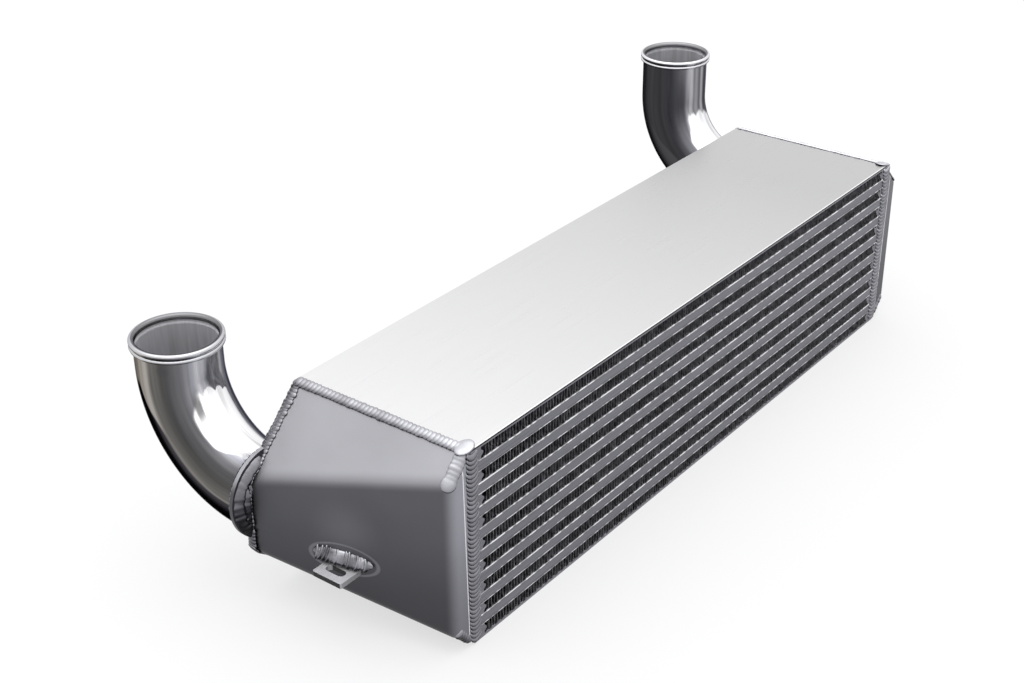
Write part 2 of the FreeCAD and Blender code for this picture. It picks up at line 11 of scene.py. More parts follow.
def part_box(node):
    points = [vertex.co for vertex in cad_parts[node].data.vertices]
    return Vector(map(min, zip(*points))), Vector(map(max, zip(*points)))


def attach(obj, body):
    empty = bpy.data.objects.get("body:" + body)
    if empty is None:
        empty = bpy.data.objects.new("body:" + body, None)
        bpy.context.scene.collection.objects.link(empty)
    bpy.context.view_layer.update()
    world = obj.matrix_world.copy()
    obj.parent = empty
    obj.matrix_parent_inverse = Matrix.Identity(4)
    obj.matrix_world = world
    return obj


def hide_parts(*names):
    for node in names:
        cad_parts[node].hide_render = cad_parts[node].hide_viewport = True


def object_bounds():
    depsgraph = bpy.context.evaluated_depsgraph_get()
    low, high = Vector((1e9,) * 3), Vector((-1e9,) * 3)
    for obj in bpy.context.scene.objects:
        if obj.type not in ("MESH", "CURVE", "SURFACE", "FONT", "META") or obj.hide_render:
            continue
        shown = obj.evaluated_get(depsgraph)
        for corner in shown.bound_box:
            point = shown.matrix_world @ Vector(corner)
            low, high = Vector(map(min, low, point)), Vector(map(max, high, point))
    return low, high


bl_info = {
    "name": "Bar and plate intercooler",
    "version": (1, 0, 0),
    "blender": (4, 5, 0),
    "location": "View3D > Sidebar > Intercooler",
    "description": "Builds the visible pieces and finishes of an intercooler",
    "category": "Object",
}

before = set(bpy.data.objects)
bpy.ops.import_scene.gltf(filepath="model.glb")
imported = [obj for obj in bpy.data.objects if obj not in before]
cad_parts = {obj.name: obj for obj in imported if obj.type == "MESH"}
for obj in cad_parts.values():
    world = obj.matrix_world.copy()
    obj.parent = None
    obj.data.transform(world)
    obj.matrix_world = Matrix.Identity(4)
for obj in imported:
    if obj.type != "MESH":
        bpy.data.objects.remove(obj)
CAD_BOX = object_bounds()

MM = 0.001
NEAR, FAR = -1, 1
SIDES = {NEAR: "near", FAR: "far"}

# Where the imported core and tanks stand
CORE_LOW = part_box("core_bottom_plate")[0]
CORE_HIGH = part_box("core_top_plate")[1]
CORE_FRONT, CORE_BACK = CORE_LOW.y, CORE_HIGH.y
CORE_TOP = CORE_HIGH.z
CORE_END = CORE_HIGH.x
FIN_ROWS = 9
ROW_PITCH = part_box("front_bar_2")[1].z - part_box("front_bar_1")[1].z
TANK_FRONT_REACH = 20.7 * MM
TANK_BACK_REACH = 58.0 * MM
UPPER_SLOPE = 1.0
LOWER_SLOPE = 0.8
STRIP_LEAN = 0.8
PANEL_THICKNESS = 3.0 * MM

# Each weld's frozen ripple: width, length and height in mm, and how far it lies back in
# degrees
RIPPLES = {
    "upright": (14.4, 5.4, 2.0, 15),
    "mitre": (10.6, 7.6, 3.4, 7),
    "mitre_end": (11.6, 12.4, 3.8, 0),
    "puddle": (17.0, 14.0, 3.2, 0),
    "lower_mitre": (8.2, 7.4, 4.6, 8),
    "panel": (9.0, 6.2, 2.3, 7),
    "lobe": (9.8, 8.0, 3.0, 3),
    "pipe_ring": (6.0, 6.2, 3.2, 14),
    "tab": (13.4, 3.2, 6.2, 14),
    "tab_core": (12.0, 49.0, 5.6, 0),
}

# How deep and how far out the cross beads and the corner puddles sit
CROSS_SEATS = {NEAR: (0.7 * MM, 0.6 * MM), FAR: (1.1 * MM, 1.4 * MM)}
PUDDLE_SEATS = {NEAR: (-0.2 * MM, -0.6 * MM), FAR: (0.8 * MM, 1.4 * MM)}
RING_RIPPLES = 56

# How far the arcs of the upright and tab welds sweep round
UPRIGHT_CURL = math.radians(140)
TAB_CURL = math.radians(85)

# Points closer than this are one
TOUCH = 0.001 * MM

# The pipes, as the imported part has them
PIPE_RADIUS = 31.75 * MM
PIPE_WALL = 2.0 * MM
PIPE_OFFSET = 37.6 * MM
PIPE_HEIGHT = 86.6 * MM
ELBOW_RADIUS = 77.0 * MM
PIPE_RUNS = {NEAR: (1.5 * MM, 24.0 * MM), FAR: (20.0 * MM, 43.0 * MM)}
LIP_RADIUS = 34.5 * MM
LIP_ROLL = 1.9 * MM
BEAD_ROLL = 1.9 * MM
BEAD_DROP = 5.9 * MM
ROUND_STEPS = 96
BEND_STEPS = 40

# Soft light by the sine of its height: paler at the horizon, brightest overhead
SKY_STOPS = ((0.0, 1.0), (1.0, 2.5), (0.5, 1.05), (0.7, 1.36), (0.86, 2.0))
SKY_PEAK = 2.6

# A painted glow of light on the near tank's wall, and a mark on the near pipe
PAINTED_GLOW = (-0.348, 0.0, 0.082)
PAINTED_GLOW_REACH = 34 * MM
TOOL_MARK = (-0.3709, 0.1436, 0.1735)

# A lighter oval round each tab's weld, in Y and Z
OVAL_SCALE = (0.0, 1 / 0.0262, 1 / 0.0118)
OVAL_SHIFT = (0.0, -0.0036 / 0.0262, -0.0596 / 0.0118)

# Painted shade on weld metal: tones from facing down over level (0.5) to facing up
WELD_SHADE_TONES = (
    (0.0, "0E0E10"), (1.0, "DCDCE0"), (0.38, "1C1C1F"), (0.49, "56565B"), (0.58, "8E8E93"),
    (0.75, "ACACB0"), (0.9, "BABABE"), (0.96, "D6D6DA"),
)

# The far joints' weld metal, whose painted shade on the steps shows less
FAR_WELD_SHADE_TONES = (
    (0.0, "8E8E92"), (1.0, "FAFAFC"), (0.42, "747479"), (0.5, "5E5E63"), (0.6, "88888D"),
    (0.74, "D4D4D8"), (0.9, "F4F4F8"),
)

# Painted reflection tones round the polished tubes, from the +X side over the outer side
# of the bend, and the painted light on top of their rims
TUBE_REFLECTION_TONES = {
    NEAR: (
        (0.0, "90908F"), (1.0, "90908F"), (0.12, "98989A"), (0.22, "82807E"), (0.3, "76736F"),
        (0.36, "7A7570"), (0.41, "86827D"), (0.475, "A29E98"), (0.508, "A09C97"),
        (0.524, "6C6A67"), (0.558, "565553"), (0.594, "4E4E50"), (0.63, "67676A"),
        (0.652, "7A7A7E"), (0.672, "92929A"), (0.7, "CECED2"), (0.72, "F6F6F8"),
        (0.78, "F2F2F4"), (0.805, "DCDCE0"), (0.83, "84848A"), (0.856, "7A7A80"),
    ),
    FAR: (
        (0.0, "7C7C80"), (1.0, "7C7C80"), (0.2, "78787A"), (0.36, "5A5A5C"), (0.42, "48484A"),
        (0.5, "38383A"), (0.55, "404044"), (0.58, "64646A"), (0.61, "7A7A80"),
        (0.64, "8C8C92"), (0.655, "C8C8CC"), (0.675, "C0C0C4"), (0.69, "77777A"),
        (0.715, "8E8E92"), (0.735, "6C6C70"), (0.755, "B4B4B8"), (0.775, "707074"),
        (0.856, "A0A0A4"),
    ),
}
LIP_LIGHT_TONES = {NEAR: "CACACE", FAR: "E6E6EA"}
TUBE_POLISH = {NEAR: 0.15, FAR: 0.3}

# Where the painted highlight patch in each bend starts round the tube and how far up it runs
PATCH_EDGE = {NEAR: 0.642, FAR: 0.624}
PATCH_REACH = {NEAR: 107 * MM, FAR: 121 * MM}

# Round each tube, from 0 to 1, and along it: where the painted highlight patch ends, the
# painted dark reflection wedge in the near tube's patch, and the painted dark reflection
# band over the outer side
PATCH_BACK = (0.808, 0.83)
DARK_REFLECTION_WEDGE = (0.666, 0.68)
DARK_REFLECTION_WEDGE_RUN = (90 * MM, 97 * MM)
DARK_REFLECTION_BAND = (0.4, 0.506)
DARK_REFLECTION_BAND_END = (112 * MM, 122 * MM)

# How far behind the finned front the painted shade darkens the welds
BACK_SHADE_RUN = (CORE_FRONT + 2 * MM, CORE_FRONT + 80 * MM)

# How far out from the core's end the bright line along each upright weld stands
BRIGHT_LINE_REACH = (4.9 * MM, 5.5 * MM)

# The photograph's camera
IMAGE_WIDTH = 1024
CAMERA_PLACE = (-1.00466, -0.65738, 0.73503)
CAMERA_AZIMUTH = math.radians(-52.21)
CAMERA_ELEVATION = math.radians(28.55)
CAMERA_ROLL = math.radians(-0.52)
CAMERA_FOCUS = 1631.13
SENSOR_WIDTH = 36.0


def linear(code):
    """An sRGB hex colour as linear floats."""
    parts = [int(code[k:k + 2], 16) / 255 for k in (0, 2, 4)]
    return tuple(c / 12.92 if c <= 0.04045 else ((c + 0.055) / 1.055) ** 2.4 for c in parts)


def toned(colour, share=1.0):
    """A colour at a share of its light, with full alpha."""
    return (*(c * share for c in colour[:3]), 1.0)


def plug(tree, node, inputs):
    """Fills a node's inputs with values, or links them to sockets or other nodes."""
    for socket, source in inputs.items():
        if isinstance(source, bpy.types.Node):
            source = next(output for output in source.outputs if output.enabled)
        if isinstance(source, bpy.types.NodeSocket):
            tree.links.new(source, node.inputs[socket])
        else:
            node.inputs[socket].default_value = source


def add_node(tree, kind, inputs=(), stops=(), **settings):
    """Adds a node with its settings, colour stops and inputs. A list of inputs fills the
    node's sockets from the top."""
    made = tree.nodes.new("ShaderNode" + kind)
    for name, setting in settings.items():
        setattr(made, name, setting)
    for number, (place, colour) in enumerate(stops):
        elements = made.color_ramp.elements
        stop = elements[number] if number < 2 else elements.new(place)
        stop.position, stop.color = place, colour
    if not isinstance(inputs, dict):
        sockets = [k for k, socket in enumerate(made.inputs) if socket.enabled]
        inputs = dict(zip(sockets, inputs))
    plug(tree, made, inputs)
    return made


# Finishes


UP, FRONT = (0, 0, 1), (0, -1, 0)
WHITE = (1.0, 1.0, 1.0, 1.0)
SMOOTH = {"interpolation_type": "SMOOTHSTEP"}
RGBA = {"data_type": "RGBA"}

# Where most of a noise's values lie
NOISE_SPAN = (0.3, 0.7)

# Painted glints of braze along the bars and sheets show in dashes of about 6 mm
BRAZE_GLINT_DASHES = (170, 3, 90)


def new_metal(name, roughness, metallic=1.0):
    """A metal material: its node tree and its shader."""
    material = bpy.data.materials.new(name)
    material.use_nodes = True
    tree = material.node_tree
    shader = tree.nodes["Principled BSDF"]
    plug(tree, shader, {"Metallic": metallic, "Roughness": roughness})
    return material, tree, shader


def object_place(tree):
    """A place on the object, whole and as its X, Y and Z."""
    place = add_node(tree, "TexCoord").outputs["Object"]
    return place, add_node(tree, "SeparateXYZ", [place]).outputs


def facing(tree, direction):
    """How squarely the surface faces a direction, from -1 to 1."""
    normal = add_node(tree, "NewGeometry").outputs["Normal"]
    return add_node(tree, "VectorMath", [normal, direction], operation="DOT_PRODUCT")


def turned_to(tree, direction, low, high, start=0.0, end=1.0):
    """Start where the surface faces a direction by low or less, end from high on."""
    return add_node(tree, "MapRange", [facing(tree, direction), low, high, start, end], **SMOOTH)


def product(tree, first, *others):
    """Several factors multiplied."""
    for other in others:
        first = add_node(tree, "Math", [first, other], operation="MULTIPLY")
    return first


def within(tree, factor, low, high, blur):
    """1 between low and high, fading to 0 over the blur outside them."""
    rise = add_node(tree, "MapRange", [factor, low - blur, low], **SMOOTH)
    fall = add_node(tree, "MapRange", [factor, high, high + blur, 1.0, 0.0], **SMOOTH)
    return product(tree, rise, fall)


def near_spot(tree, spot, reach):
    """1 at a place of the piece, fading to 0 at reach from it."""
    place = add_node(tree, "TexCoord").outputs["Object"]
    away = add_node(tree, "VectorMath", [place, spot], operation="DISTANCE")
    return add_node(tree, "MapRange", [away, 0.0, reach, 1.0, 0.0], **SMOOTH)


def grain(tree, cycles, detail=3.0, place=None):
    """Noise with so many cycles a metre on each axis of the object, or of another map."""
    if place is None:
        place = add_node(tree, "TexCoord").outputs["Object"]
    spot = add_node(tree, "Mapping", {"Vector": place, "Scale": cycles})
    return add_node(tree, "TexNoise", {"Vector": spot, "Scale": 1.0, "Detail": detail})


def mottled(tree, noise, colour, share):
    """A colour that the noise darkens to a share of its light."""
    factor = add_node(tree, "MapRange", [noise, *NOISE_SPAN])
    return add_node(tree, "Mix", [factor, toned(colour, share), toned(colour)], **RGBA)


def rolled_plate(colours):
    """Rolled aluminium plate: bright and satin, painted darker towards its far end as shade,
    a painted highlight as a white rim above a painted shadow, the dark line where it meets
    the fins, and its faces that don't face up painted in the bars' darker tone as shade."""
    material, tree, shader = new_metal("rolled_aluminium_plate", 0.3)
    fine = grain(tree, (12, 700, 700))
    _, place = object_place(tree)
    # Painted shade, darker towards the far end
    far_end_shade = add_node(tree, "MapRange", [place["X"], -CORE_END, CORE_END * 0.7])
    tone = add_node(tree, "Mix", [far_end_shade, toned(colours.plate), toned(colours.plate, 0.69)], **RGBA)
    # Painted highlight: a white rim along the plate's front edge
    rim = add_node(
        tree, "MapRange",
        [place["Y"], CORE_FRONT + 0.7 * MM, CORE_FRONT + 1.3 * MM, 1.0, 0.0], **SMOOTH
    )
    tone = add_node(tree, "Mix", [rim, tone, WHITE], **RGBA)
    # Painted shadow along the top of the faces that don't face up, which take the bars' tone as
    # painted shade
    shadow = add_node(
        tree, "MapRange", [place["Z"], CORE_TOP - 1.6 * MM, CORE_TOP - 1.2 * MM], **SMOOTH
    )
    front = add_node(tree, "Mix", [shadow, toned(colours.bar), toned(colours.bar, 0.12)], **RGBA)
    tone = add_node(tree, "Mix", [turned_to(tree, UP, 0.1, 0.4), front, tone], **RGBA)
    plug(tree, shader, {
        "Base Color": tone,
        "Roughness": add_node(tree, "MapRange", [fine, *NOISE_SPAN, 0.27, 0.34]),
        "Normal": add_node(tree, "Bump", {"Height": fine, "Distance": 0.002 * MM}),
    })
    return material


def mill_sheet(colours):
    """Folded mill finish sheet: a dull grey skin with painted light and shade by facing, paler
    on the upper face and darker on the sides, whose wide folds blend the painted tones, with
    bright lines beside the welds."""
    material, tree, shader = new_metal("mill_finish_aluminium_sheet", 0.42)
    whole, place = object_place(tree)
    size = add_node(tree, "Math", [place["X"]], operation="ABSOLUTE")
    out = add_node(tree, "Math", [size, CORE_END], operation="SUBTRACT")
    back = add_node(tree, "Math", [place["Y"], CORE_FRONT], operation="SUBTRACT")

    # The upper face, up to its folds, with the painted light
    slant = (TANK_BACK_REACH - TANK_FRONT_REACH) / (CORE_BACK - CORE_FRONT)
    over = add_node(tree, "Math", [back, slant, place["Z"]], operation="MULTIPLY_ADD")
    fold = CORE_TOP - TANK_FRONT_REACH
    top = product(
        tree, add_node(tree, "MapRange", [over, fold - 2.5 * MM, fold + 9.5 * MM], **SMOOTH),
        turned_to(tree, UP, 0.0, 0.3), turned_to(tree, FRONT, 0.35, 0.95, 1.0, 0.0),
    )

    # The front strip, up to its fold, with painted shade making it dimmer on the far tank
    past = add_node(tree, "Math", [out, STRIP_LEAN, back], operation="MULTIPLY_ADD")
    turn = STRIP_LEAN * TANK_FRONT_REACH
    strip = add_node(tree, "MapRange", [past, turn - 6 * MM, turn + 9 * MM, 1.0, 0.0], **SMOOTH)
    # Painted shade by facing: the strip's tone and the darker tone of the level and downward faces
    side = add_node(
        tree, "Mix", [strip, toned(colours.sheet_side_shade), toned(colours.sheet_front_shade)], **RGBA
    )
    far_strip_shade = product(
        tree, add_node(tree, "MapRange", [place["X"], 0.0, CORE_END, 0.0, 0.52], **SMOOTH),
        turned_to(tree, FRONT, 0.3, 0.8),
    )

    # Painted light: paler upwards and inside the painted glow, and lighter along the oval round
    # the tab's weld
    light = add_node(tree, "MapRange", [place["Z"], 10 * MM, 130 * MM, 0.7, 1.25], **SMOOTH)
    glow_on_wall = near_spot(tree, PAINTED_GLOW, PAINTED_GLOW_REACH)
    light = add_node(tree, "Math", [glow_on_wall, 0.42, light], operation="MULTIPLY_ADD")
    oval = add_node(
        tree, "VectorMath", [whole, OVAL_SCALE, OVAL_SHIFT], operation="MULTIPLY_ADD"
    )
    ring = within(tree, add_node(tree, "VectorMath", [oval], operation="LENGTH"), 0.98, 1.03, 0.06)
    light = add_node(tree, "Math", [ring, 0.9, light], operation="MULTIPLY_ADD")
    light = product(tree, light, add_node(tree, "Math", [1.0, far_strip_shade], operation="SUBTRACT"))
    side = add_node(tree, "HueSaturation", {"Color": side, "Value": light})
    # Painted light on the upper face
    tone = add_node(tree, "Mix", [top, side, toned(colours.sheet_lit_top)], **RGBA)

    # The bright line along the upright weld
    toe = add_node(tree, "Math", [place["Z"], -0.022, out], operation="MULTIPLY_ADD")
    line = product(
        tree, within(tree, toe, *BRIGHT_LINE_REACH, 0.3 * MM),
        turned_to(tree, FRONT, 0.8, 0.95), 0.8,
    )
    tone = add_node(tree, "Mix", [line, tone, toned(colours.edge)], **RGBA)
    cloud = grain(tree, (14, 14, 20), 4.0)
    value = add_node(tree, "MapRange", [cloud, *NOISE_SPAN, 0.93, 1.05])
    fine = grain(tree, (900, 500, 900), 2.0)
    plug(tree, shader, {
        "Base Color": add_node(tree, "HueSaturation", {"Color": tone, "Value": value}),
        "Roughness": add_node(tree, "MapRange", [cloud, *NOISE_SPAN, 0.38, 0.46]),
        "Normal": add_node(tree, "Bump", {"Height": fine, "Distance": 0.03 * MM}),
    })
    return material


def brazed_bar(colours):
    """Extruded bar after brazing: flat mid grey with fine drawing lines, a painted highlight
    where it faces up, and a bright broken line of braze along its upper edge whose dashes
    are painted glints."""
    material, tree, shader = new_metal("brazed_aluminium_bar", 0.45)
    lines = grain(tree, (9, 900, 900))
    tone = mottled(tree, lines, colours.bar, 0.8)
    # Painted highlight where the bar faces up
    tone = add_node(
        tree, "Mix", [turned_to(tree, UP, 0.2, 0.9), tone, toned(colours.edge)], **RGBA
    )
    _, place = object_place(tree)
    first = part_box("front_bar_1")[1].z
    rows = add_node(tree, "Math", [place["Z"], first], operation="SUBTRACT")
    rows = add_node(tree, "Math", [rows, ROW_PITCH], operation="DIVIDE")
    rows = add_node(tree, "Math", [rows], operation="FRACT")
    edge = add_node(
        tree, "MapRange", [rows, 1 - 0.7 * MM / ROW_PITCH, 1 - 0.45 * MM / ROW_PITCH], **SMOOTH
    )
    # The braze line's dashes are painted glints
    dashes = add_node(tree, "MapRange", [grain(tree, BRAZE_GLINT_DASHES, 1.0), 0.42, 0.56], **SMOOTH)
    braze = product(tree, edge, dashes)
    tone = add_node(tree, "Mix", [braze, tone, toned(colours.edge)], **RGBA)
    plug(tree, shader, {
        "Base Color": tone,
        "Normal": add_node(tree, "Bump", {"Height": lines, "Distance": 0.03 * MM}),
    })
    return material


def clad_sheet(colours):
    """Brazing sheet: a thin cut edge that glints in dashes where the fins' feet end."""
    material, tree, shader = new_metal("clad_brazing_sheet", 0.3)
    glints = add_node(tree, "MapRange", [grain(tree, BRAZE_GLINT_DASHES, 1.0), 0.44, 0.6], **SMOOTH)
    plug(tree, shader, {"Base Color": add_node(
        tree, "Mix", [glints, toned(colours.edge, 0.42), toned(colours.edge)], **RGBA
    )})
    return material


def fin_foil(colours):
    """Thin lanced foil deep between the bars, mottled darker at random; it looks dark from the
    shade there.
    """
    material, tree, shader = new_metal("brazed_fin_foil", 0.45)
    patch = grain(tree, (420, 160, 300), 2.0)
    plug(tree, shader, {
        "Base Color": mottled(tree, patch, colours.fin, 0.35),
        "Roughness": add_node(tree, "MapRange", [patch, *NOISE_SPAN, 0.3, 0.5]),
    })
    return material


def weld_metal(colours, name="aluminium_weld_metal", share=1.0, tones=WELD_SHADE_TONES, back=0.66,
               grime=0.74):
    """Bare weld metal, wavy on top, with painted shade by facing: bright where it faces up and
    dark on its steps, and mottled with soot at random. A share of the light is left overall,
    and painted shade takes another away from the finned front."""
    material, tree, shader = new_metal(name, 0.26)
    wave = grain(tree, (700, 700, 700), 2.0)
    soot = grain(tree, (110, 110, 110), 3.0)
    coat = mottled(tree, soot, toned(colours.weld, share), grime)
    _, place = object_place(tree)
    # Painted shade, darker towards the back
    back_shade = add_node(tree, "MapRange", [place["Y"], *BACK_SHADE_RUN, 1.0, back], **SMOOTH)
    coat = add_node(tree, "HueSaturation", {"Color": coat, "Value": back_shade})
    # Painted shade: the tone follows how squarely the surface faces up
    height = add_node(tree, "MapRange", [facing(tree, UP), -1.0])
    ramp = add_node(tree, "ValToRGB", [height], [(at, toned(linear(code))) for at, code in tones])
    plug(tree, shader, {
        "Base Color": add_node(tree, "Mix", [1.0, ramp, coat], blend_type="MULTIPLY", **RGBA),
        "Roughness": add_node(tree, "MapRange", [soot, *NOISE_SPAN, 0.32, 0.22]),
        "Normal": add_node(tree, "Bump", {"Height": wave, "Distance": 0.06 * MM}),
    })
    return material


def machined_tab(colours):
    """Sawn and milled plate with fine cutter marks on top, painted light and shade by facing:
    pale on top, dull on its front sawn edges, near black on its other edges, with a painted
    highlight on its bevels.
    """
    material, tree, shader = new_metal("milled_aluminium_plate", 0.4, 0.35)
    marks = grain(tree, (120, 2600, 300), 1.0)
    # Painted shade on the sawn edges, darker where they don't face the front
    shaded_sides = add_node(
        tree, "Mix",
        [turned_to(tree, FRONT, 0.2, 0.6), toned(colours.tab, 0.04), toned(colours.tab, 0.45)],
        **RGBA,
    )
    tone = mottled(tree, marks, colours.tab, 0.8)
    tone = add_node(tree, "Mix", [turned_to(tree, UP, 0.1, 0.5), shaded_sides, tone], **RGBA)
    # Painted highlight along the bevelled edges
    rim = within(tree, facing(tree, UP), 0.3, 0.93, 0.04)
    tone = add_node(tree, "Mix", [rim, tone, WHITE], **RGBA)
    plug(tree, shader, {
        "Base Color": tone, "Specular Tint": tone,
        "Normal": add_node(tree, "Bump", {"Height": marks, "Distance": 0.02 * MM}),
    })
    return material


def painted_highlight(tree, side, around, along, streak):
    """Where the bend's inner side gets a painted highlight of the light overhead: 1 inside a
    ragged patch. Also gives how far up the tube the streaks let it run."""
    foot = add_node(tree, "MapRange", [along, 12 * MM, 48 * MM, 0.04, 0.0], **SMOOTH)
    head = add_node(tree, "MapRange", [along, 80 * MM, 105 * MM, 0.0, 0.026], **SMOOTH)
    inset = add_node(tree, "Math", [foot, head], operation="ADD")
    inset = add_node(tree, "Math", [around, inset], operation="SUBTRACT")
    edge, limit = PATCH_EDGE[side], PATCH_REACH[side]
    swerve = add_node(tree, "Math", [around, 0.7], operation="SUBTRACT")
    swerve = add_node(tree, "Math", [swerve], operation="ABSOLUTE")
    reach = add_node(tree, "Math", [swerve, 0.12, along], operation="MULTIPLY_ADD")
    ragged = add_node(tree, "MapRange", [streak, *NOISE_SPAN, -7 * MM, 7 * MM])
    reach = add_node(tree, "Math", [reach, ragged], operation="ADD")
    highlight_mask = product(
        tree, add_node(tree, "MapRange", [inset, edge, edge + 0.014], **SMOOTH),
        add_node(tree, "MapRange", [around, *PATCH_BACK, 1.0, 0.0], **SMOOTH),
        add_node(tree, "MapRange", [reach, limit, limit + 7 * MM, 1.0, 0.0], **SMOOTH),
    )
    return highlight_mask, reach


def lip_tone(tree, side, along, tone):
    """The tone with the rolled lip's painted light on top of it, painted darker towards the bore
    as shade.
    """
    root, top = PIPE_RUNS[side]
    mouth = root + ELBOW_RADIUS * math.pi / 2 + top
    # Painted light where the lip faces up by the mouth, with painted shade darker towards the bore
    rim = product(
        tree, add_node(tree, "MapRange", [along, mouth - 9 * MM, mouth - 8.4 * MM], **SMOOTH),
        turned_to(tree, UP, 0.0, 0.35),
    )
    axis = (-side * (CORE_END + PIPE_OFFSET), -CORE_BACK - root - ELBOW_RADIUS, 0)
    place = add_node(tree, "TexCoord").outputs["Object"]
    off_axis = add_node(tree, "VectorMath", [place, (1, 1, 0), axis], operation="MULTIPLY_ADD")
    out = add_node(tree, "VectorMath", [off_axis], operation="LENGTH")
    pale = linear(LIP_LIGHT_TONES[side])
    outer = add_node(tree, "MapRange", [out, 31.9 * MM, 32.9 * MM], **SMOOTH)
    lip = add_node(tree, "Mix", [outer, toned(pale, 0.4), toned(pale)], **RGBA)
    return add_node(tree, "Mix", [rim, tone, lip], **RGBA)


def polished_tube(colours, side):
    """Hand-polished tube: near mirror, with painted reflection tones round it, soft streaks of
    painted reflection that follow the bend, also in its bump and roughness, and a ragged
    painted highlight of the overhead light in the bend's inner side."""
    material, tree, shader = new_metal("polished_%s_tube" % SIDES[side], 0.13)
    flow = add_node(tree, "UVMap", uv_map="flow").outputs["UV"]
    streak = grain(tree, (38.0, 5.0, 1.0), 4.0, flow)
    drift = grain(tree, (11.0, 9.0, 1.0), 4.0, flow)
    parts = add_node(tree, "SeparateXYZ", [flow]).outputs
    along = parts["Y"]
    stray = add_node(tree, "MapRange", [drift, *NOISE_SPAN, -0.008, 0.008])
    around = add_node(tree, "Math", [parts["X"], stray], operation="ADD")
    # Painted reflections: the tone follows the way round the tube
    stops = [(at, toned(linear(code))) for at, code in TUBE_REFLECTION_TONES[side]]
    tone = add_node(tree, "ValToRGB", [around], stops)
    # Painted reflection streaks along the tube
    value = add_node(tree, "MapRange", [streak, *NOISE_SPAN, 0.75, 1.25])
    tone = add_node(tree, "HueSaturation", {"Color": tone, "Value": value})
    if side == NEAR:
        spot = near_spot(tree, TOOL_MARK, 6 * MM)
        tone = add_node(tree, "Mix", [spot, tone, toned(colours.pipe_dark_reflection_and_mark)], **RGBA)
    highlight_mask, reach = painted_highlight(tree, side, around, along, streak)
    # Painted highlight: a bright streaked tone inside the patch
    clear = add_node(tree, "MapRange", [streak, 0.3, 0.5], **SMOOTH)
    bright = add_node(
        tree, "Mix", [clear, toned(colours.pipe_highlight, 0.62), toned(colours.pipe_highlight)], **RGBA
    )
    tone = add_node(tree, "Mix", [highlight_mask, tone, bright], **RGBA)
    # A painted dark reflection wedge inside the near tube's patch
    if side == NEAR:
        wedge = product(
            tree, within(tree, around, *DARK_REFLECTION_WEDGE, 0.01),
            within(tree, reach, *DARK_REFLECTION_WEDGE_RUN, 26 * MM),
        )
        tone = add_node(tree, "Mix", [wedge, tone, toned(colours.pipe_highlight, 0.2)], **RGBA)

    # The painted dark reflection band round the outer side, which narrows up the tube and then
    # ends
    taper = add_node(tree, "MapRange", [along, 76 * MM, 124 * MM, 0.0, 0.06], **SMOOTH)
    outside = add_node(tree, "Math", [around, taper], operation="ADD")
    band = product(
        tree, within(tree, outside, *DARK_REFLECTION_BAND, 0.012),
        add_node(tree, "MapRange", [along, *DARK_REFLECTION_BAND_END, 1.0, 0.0], **SMOOTH),
    )
    tone = add_node(tree, "Mix", [band, tone, toned(colours.pipe_dark_reflection_and_mark)], **RGBA)
    tone = lip_tone(tree, side, along, tone)

    # In the light patch the surface mirrors the sky higher up
    height = add_node(tree, "Math", [highlight_mask, 0.5], operation="MULTIPLY")
    lift = add_node(tree, "CombineXYZ", {"Z": height})
    normal = add_node(tree, "Bump", {"Height": streak, "Distance": 0.12 * MM})
    normal = add_node(tree, "VectorMath", [normal, lift], operation="ADD")
    polish = TUBE_POLISH[side]
    plug(tree, shader, {
        "Base Color": tone, "Specular Tint": tone,
        "Roughness": add_node(tree, "MapRange", [streak, *NOISE_SPAN, polish, polish + 0.08]),
        "Normal": add_node(tree, "VectorMath", [normal], operation="NORMALIZE"),
    })
    return material


def drawn_bore(colours):
    """The tube's inside as drawn: dull grey with streaks towards the mouth."""
    material, tree, shader = new_metal("drawn_tube_bore", 0.5, 0.45)
    flow = add_node(tree, "UVMap", uv_map="flow").outputs["UV"]
    streak = grain(tree, (44.0, 14.0, 1.0), 3.0, flow)
    plug(tree, shader, {"Base Color": mottled(tree, streak, colours.bore, 0.74)})
    return material


# Modelling


def deselect():
    if bpy.context.mode != "OBJECT":
        bpy.ops.object.mode_set(mode="OBJECT")
    bpy.ops.object.select_all(action="DESELECT")


def only(piece):
    """Selects one piece alone and makes it active."""
    deselect()
    piece.select_set(True)
    bpy.context.view_layer.objects.active = piece


def settle(piece):
    """Puts the piece's place, turn and size into its mesh."""
    only(piece)
    bpy.ops.object.transform_apply(location=True, rotation=True, scale=True)


def apply_all(piece):
    """Applies a piece's modifiers in their order."""
    only(piece)
    for modifier in list(piece.modifiers):
        bpy.ops.object.modifier_apply(modifier=modifier.name)


def join(pieces, name):
    """Makes one named piece of several."""
    deselect()
    for piece in pieces:
        piece.select_set(True)
    bpy.context.view_layer.objects.active = pieces[0]
    if len(pieces) > 1:
        bpy.ops.object.join()
    joined = bpy.context.view_layer.objects.active
    joined.name = joined.data.name = name
    return joined


def dress(piece, slot, *materials, nodes=()):
    """Gives a finished piece its materials and the body it rides on, and hides the nodes that
    it stands for. The slot is not used."""
    settle(piece)
    for material in materials:
        piece.data.materials.append(material)
    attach(piece, "root")
    if nodes:
        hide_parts(*nodes)
    return piece


def paint(name, material):
    """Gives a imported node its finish."""
    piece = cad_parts[name]
    piece.data.materials.clear()
    piece.data.materials.append(material)


def soften_edges(name, width):
    """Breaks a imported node's sharp edges with a modifier, so that they catch the light."""
    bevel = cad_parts[name].modifiers.new("broken_edges", "BEVEL")
    bevel.width = width
    bevel.segments = 2
    bevel.limit_method = "ANGLE"
    bevel.harden_normals = True


